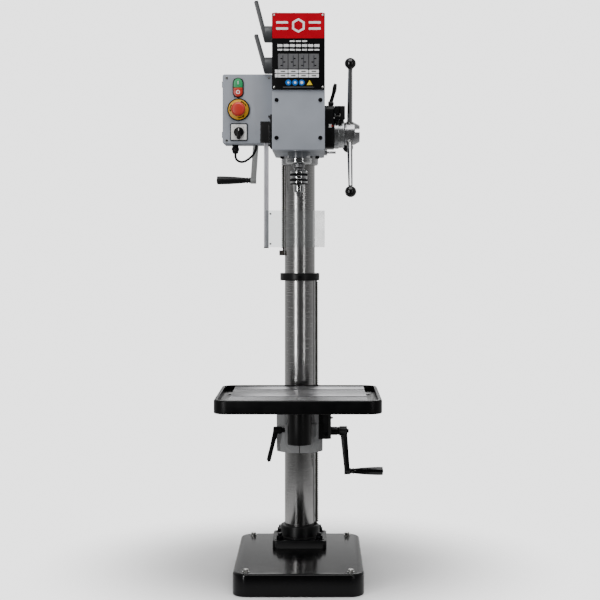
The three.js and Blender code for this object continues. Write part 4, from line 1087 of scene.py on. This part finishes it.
# ---------------------------------------------------------------- electrical box
def controls():
    box_node = refined("control_box", paint_box, 2.2, 35, 3)
    (x0, y0, z0), (x1, _, z1) = in_mm("control_box")
    seam = y0 + 14
    depth = 0.9
    groove = (seam, seam + 1.2)
    carve(box_node, [cutter_box(x0 - 2, x1 + 2, *groove, z1 - depth, z1 + 2),
                     cutter_box(x0 - 2, x1 + 2, *groove, z0 - 2, z0 + depth),
                     cutter_box(x0 - 2, x0 + depth, *groove, z0 - 2, z1 + 2)])
    smoothed(box_node.data, 40)
    for i, (x, z) in numbered((x0 + 11, x1 - 9), (z0 + 8, z1 - 10)):
        recessed_screw(f"lid_corner_screw_{i}", x, z, y0)
    for j, z in enumerate((z0 + 24, z1 - 26)):
        block(f"lid_catch_{j + 1}", mm(x0 - 2.2, seam - 7, z - 8), mm(x0 + 0.6, seam + 9, z + 8), paint_box,
              "head", 0.9)

    twin_button()
    estop()
    selector()
    gland = centre_of("cable_gland")
    (_, _, g0), (_, _, g1) = in_mm("cable_gland")
    profile = [(3.4, g0), (5.6, g0), (7.2, g0 + 2), (8.6, g0 + 6.5), (9.6, g0 + 8), (9.6, g0 + 17),
               (8.4, g0 + 18),
               (8.4, g1), (3.4, g1)]
    revolve("gland_body", rounded_profile(profile, 0.6), "z", Vector((gland.x, gland.y, 0)), black_plastic,
            "head",
            56, "cable_gland")
    place = Matrix.Translation((gland.x, gland.y, 0))
    plain_nut("gland_nut", 11.4, g0 + 9.5, g0 + 16, 0.8, place, black_plastic, "head")
    cable()


def recessed_screw(name, x, z, y):
    profile = [(0, 0.2), (3.6, 0.2), (3.6, -0.7), (3.1, -1.2), (0.0, -1.3)]
    revolve(name, profile, "y", mm(x, y, z), zinc, "head", 28)
    # Two crossed thin black bars: painted shade for the inside of the screw head's cross slot.
    for turn in (0, 90):
        slot = cube((4.2, 0.3, 0.8))
        slot.transform(Matrix.Translation(mm(x, y - 1.32, z)) @ Matrix.Rotation(math.radians(turn + 20), 4,
                                                                                "Y"))
        finish_piece(f"{name}_slot_{turn}", slot, black_print_and_shade, "head", 0)


def twin_button():
    (x0, y0, z0), (x1, y1, z1) = in_mm("button_frame")
    width = x1 - x0
    outer = front_plate("twin_button_frame", x0, x1, z0, z1, width / 2 - 0.1, y1, y0, 1.6, black_plastic,
                        "head",
                        "button_frame", 14)
    mid = (z0 + z1) / 2
    inset = 2.2
    window = facing_front(slab_mesh(x0 + inset, x1 - inset, z0 + inset, z1 - inset, width / 2 - inset - 0.1,
                                    -y1 - 6, -y0 + 3, 0.01, 14, 1))
    carve(outer, [loose_cutter(window)])
    for node, low, high, material in (("start_button", mid + 0.4, z1 - inset - 0.4, green_plastic),
                                      ("stop_button", z0 + inset + 0.4, mid - 0.4, red_plastic)):
        (_, b0, _), (_, b1, _) = in_mm(node)
        build = half_capsule(x0 + inset + 0.4, x1 - inset - 0.4, low, high, node == "start_button", -b1,
                             -b0 - 1.2)
        finish_piece(node + "_cap", build, material, node, 35, node)
    (_, b0, _), (_, b1, _) = in_mm("stop_button")
    centre_x = (x0 + x1) / 2
    centre_z = z0 + 14.5
    profile = [(3.1, -0.6), (3.4, -0.9), (5.2, -0.9), (5.5, -0.6), (5.5, 1.0), (3.1, 1.0), (3.1, -0.6)]
    revolve("stop_mark_ring", profile, "y", mm(centre_x, b0 + 1.0, centre_z), white_plastic, "stop_button",
            40)
    block("start_mark_bar", mm(centre_x - 1, b0 + 0.5, z1 - 18), mm(centre_x + 1, b0 + 2, z1 - 9),
          white_plastic,
          "start_button", 0.3)
    block("button_lamp_window", mm(x0 + inset + 1.6, b0 + 0.2, mid - 4.4),
          mm(x1 - inset - 1.6, b0 + 2, mid - 0.6),
          orange_plastic, "stop_button", 0.6)


def half_capsule(x0, x1, z0, z1, round_top, low, high):
    """A push button with one round end and one flat end."""
    radius = (x1 - x0) / 2
    centre = (x0 + x1) / 2
    build = bmesh.new()
    loops = []
    for inset, along in ((0, low), (0, high - 0.9), (0.3, high - 0.3), (1.0, high)):
        outline = []
        reach = radius - inset
        steps = 20
        for i in range(steps + 1):
            angle = math.pi * i / steps
            lift = math.sin(angle) * reach
            level = z1 - radius if round_top else z0 + radius
            outline.append((centre + math.cos(angle) * reach, level + (lift if round_top else -lift)))
        flat = z0 + inset if round_top else z1 - inset
        outline += [(centre - reach, flat), (centre + reach, flat)]
        loops.append([build.verts.new((u * MM, v * MM, along * MM)) for u, v in outline])
    join_rings(build, loops)
    build.faces.new(list(reversed(loops[0])))
    build.faces.new(loops[-1])
    return facing_front(build)


def estop():
    centre = centre_of("estop_ring")
    spot = Vector((centre.x, 0, centre.z))
    (_, r0, _), (rx1, r1, _) = in_mm("estop_ring")
    radius = rx1 - centre.x / MM
    border = [(9.4, r1), (radius, r1), (radius, r0), (radius - 0.8, r0 - 1.4), (radius - 2.8, r0 - 1.4),
              (radius - 3.2, r0 + 0.2), (9.4, r0 + 0.4)]
    revolve("estop_collar", rounded_profile(border, 0.4), "y", spot, black_plastic, "head", 96,
            "estop_ring")
    face_ring = [(9.6, r0 + 0.6), (radius - 3.2, r0 + 0.6), (radius - 3.2, r0 - 0.6),
                 (radius - 3.6, r0 - 0.9),
                 (19, r0 - 2.2), (17, r0 - 4.0), (9.6, r0 - 4.0)]
    revolve("estop_yellow_ring", rounded_profile(face_ring, 0.4), "y", spot, yellow_plastic, "head", 96)
    (_, b0, _), (_, b1, _) = in_mm("estop_button")
    cap = [(8.4, b1), (8.4, b0 + 15), (15, b0 + 14), (17.4, b0 + 12.4), (18.8, b0 + 9), (19.0, b0 + 6.8),
           (18.2, b0 + 4.2),
           (16.4, b0 + 2.2), (13.4, b0 + 0.9), (8.0, b0 + 0.3), (0, b0)]
    revolve("estop_mushroom", rounded_profile(cap, 0.8), "y", spot, red_plastic, "estop_button", 72,
            "estop_button")
    for i in range(3):
        arrow(f"estop_arrow_{i + 1}", spot, math.radians(120 * i + 25), r0 - 2.6)


def arrow(name, spot, start, y):
    """A curved turn-to-release arrow on the yellow ring."""
    build = bmesh.new()
    inner, outer = 21.0, 23.4
    steps, sweep, tip_sweep, barb = 8, math.radians(38), math.radians(50), 1.4

    def at(radius, angle):
        return build.verts.new(mm(radius * math.cos(angle), 0, radius * math.sin(angle)))

    rows = [[at(radius, start + sweep * i / steps) for radius in (inner, outer)] for i in range(steps + 1)]
    for before, after in zip(rows, rows[1:]):
        build.faces.new((before[0], before[1], after[1], after[0]))
    end, tip = start + sweep, start + tip_sweep
    build.faces.new((at(inner - barb, end), at(outer + barb, end), at((inner + outer) / 2, tip)))
    result = bmesh.ops.extrude_face_region(build, geom=list(build.faces))
    moved = [item for item in result["geom"] if isinstance(item, bmesh.types.BMVert)]
    bmesh.ops.translate(build, verts=moved, vec=mm(0, -0.5, 0))
    build.transform(Matrix.Translation(spot + mm(0, y + 1.0, 0)))
    finish_piece(name, build, black_print_and_shade, "head", 0)


def selector():
    (x0, y0, z0), (x1, y1, z1) = in_mm("selector_plate")
    front_plate("selector_border", x0, x1, z0, z1, 5, y1, y0, 0.8, border_grey, "head", "selector_plate")
    front_plate("selector_face", x0 + 3, x1 - 3, z0 + 3, z1 - 3, 2.4, y0 + 0.2, y0 - 0.7, 0.3,
                white_plastic, "head")
    centre = Vector((centre_of("selector_plate").x, 0, centre_of("selector_plate").z))
    (_, k0, _), (_, k1, _) = in_mm("selector_knob")
    base = [(4.6, k1), (4.6, y0 - 0.9), (12.8, y0 - 0.9), (13.4, y0 - 1.6), (13, y0 - 6.4), (12, y0 - 7.4),
            (0, y0 - 7.4)]
    revolve("selector_knob_base", rounded_profile(base, 0.6), "y", centre, black_plastic, "selector_knob",
            64,
            "selector_knob")
    cx, cz = centre.x / MM, centre.z / MM
    front_plate("selector_knob_wing", cx - 5.2, cx + 5.2, cz - 20, cz + 12, 5, y0 - 5, k0, 1.8,
                black_plastic,
                "selector_knob")
    front_plate("selector_knob_line", cx - 0.7, cx + 0.7, cz + 2, cz + 9, 0.6, k0 + 0.3, k0 - 0.25, 0.1,
                white_plastic, "selector_knob")
    for i, (u, v) in enumerate(((-16, 0), (0, 17.5), (16, 0), (-12.5, 13), (12.5, 13))):
        front_plate(f"selector_tick_{i + 1}", cx + u - 0.9, cx + u + 0.9, cz + v - 0.9, cz + v + 0.9, 0.85,
                    y0 - 0.5,
                    y0 - 0.9, 0.1, black_print_and_shade, "head", None, 4)


# ---------------------------------------------------------------- interlock cable
CABLE_RADIUS = 0.00325
CABLE_ROUTE = ((-170.6, -200, 1147.8), (-170.4, -200, 1141), (-168.6, -199.5, 1134.5), (-163, -199, 1129),
               (-155, -198, 1126.5), (-146.5, -197, 1127.8), (-138.5, -196, 1132), (-130.5, -194.5, 1138.5),
               (-123, -192.5, 1147), (-117.6, -190.8, 1157), (-115.3, -190, 1166), (-115, -190, 1174))


def cable():
    """The interlock cable: one bight from the gland to the hole in the box's floor."""
    line = bpy.data.curves.new("interlock_cable_line", "CURVE")
    line.dimensions = "3D"
    line.bevel_depth = CABLE_RADIUS
    line.bevel_resolution = 6
    line.resolution_u = 8
    line.use_fill_caps = True
    spline = line.splines.new("BEZIER")
    spline.bezier_points.add(len(CABLE_ROUTE) - 1)
    for point, place in zip(spline.bezier_points, CABLE_ROUTE):
        point.co = mm(*place)
        point.handle_left_type = "AUTO"
        point.handle_right_type = "AUTO"
    line.materials.append(cable_rubber)
    tube = added("interlock_cable_tube", line)
    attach(tube, "head")
    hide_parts("interlock_cable")


# ---------------------------------------------------------------- chuck guard
def guard():
    refined("guard_plate", cast_black, 1.0)
    (px0, py0, pz0), (_, py1, pz1) = in_mm("guard_plate")
    for i, z in enumerate((pz1 - 6, pz0 + 8)):
        socket_screw(f"guard_plate_screw_{i + 1}", mm(px0, py1 - 10, z), "x", "head", 4.5, 3, True)
        block(f"guard_plate_ear_{i + 1}", mm(px0 - 5, py0 - 2.5, z - 3), mm(px0, py0 + 4, z + 3),
              cast_black, "head", 0.8)
    refined("guard_bracket", gloss_black, 0.9, 35, 2)
    (bx0, by0, bz0), (bx1, _, bz1) = in_mm("guard_bracket")
    for i in range(4):
        z = bz0 + 8 + i * (bz1 - bz0 - 16) / 3
        block(f"guard_bracket_rib_{i + 1}", mm(bx0 - 0.8, by0 + 1.5, z - 1.2),
              mm(bx0 + 0.6, by0 + 9, z + 1.2), gloss_black,
              "guard_bracket", 0.5)
    for i, x in enumerate((bx0 + 3.6, bx1 - 2.8)):
        block(f"guard_bracket_bead_{i + 1}", mm(x - 0.9, by0 - 0.8, bz0 + 3),
              mm(x + 0.9, by0 + 0.4, bz1 - 3), gloss_black,
              "guard_bracket", 0.5)

    rail = refined("guard_rail", rail_alloy, 0.7, 35, 2)
    (rx0, ry0, rz0), (rx1, ry1, rz1) = in_mm("guard_rail")
    mid_x, mid_y = (rx0 + rx1) / 2, (ry0 + ry1) / 2
    low, high = rz0 - 1, rz1 + 1
    half, deep = 1.7, 1.6
    across = (mid_x - half, mid_x + half), (mid_y - half, mid_y + half)
    carve(rail, [cutter_box(*across[0], ry0 - 1, ry0 + deep, low, high),
                 cutter_box(*across[0], ry1 - deep, ry1 + 1, low, high),
                 cutter_box(rx0 - 1, rx0 + deep, *across[1], low, high),
                 cutter_box(rx1 - deep, rx1 + 1, *across[1], low, high)])
    block("rail_end_plug", mm(rx0 - 0.3, ry0 - 0.3, rz0 - 2.5), mm(rx1 + 0.3, ry1 + 0.3, rz0 + 0.4),
          black_plastic,
          "guard", 0.8)
    (_, sy0, sz0), (sx1, sy1, sz1) = in_mm("guard_shield")
    bend = sx1 - (sy1 - sy0)
    refined("guard_shield", [clear_plastic, frosted_plastic], 0.5, 20, 2,
            lambda face: 1 if face.calc_center_median().x / MM > bend + 3 else 0)
    for i, z in enumerate((sz0 + 9, sz1 - 9)):
        socket_screw(f"shield_screw_{i + 1}", mm(rx1 + 5, sy0, z), "y", "guard", 2.8, 1.6, True,
                     material=zinc)


# ---------------------------------------------------------------- the whole scene
def floor():
    """A pale floor under the machine and round it."""
    build = bmesh.new()
    reach, low = 1.2, -0.0005
    corners = [(-reach, -reach), (reach, -reach), (reach, reach), (-reach, reach)]
    build.faces.new([build.verts.new((x, y, low)) for x, y in corners])
    mesh = bpy.data.meshes.new("floor")
    build.to_mesh(mesh)
    build.free()
    mesh.materials.append(floor_white)
    made = added("floor", mesh)


def lights():
    add_light("strip_left", (-1.75, -3.05, 1.05), (0, 0, 0.9), (0.22, 2.6), 46)
    add_light("strip_right", (1.95, -2.95, 1.05), (0, 0, 0.9), (0.16, 2.6), 10)
    add_light("overhead", (0, -1.2, 3.2), (0, -0.1, 0.6), (2.4, 2.0), 60)
    add_light("rear", (0.4, 2.6, 2.4), (0, 0, 0.8), (2.0, 1.6), 40)


add_camera()
add_world()
lights()
floor()
stand()
table()
head()
quill_and_chuck()
feed()
controls()
guard()
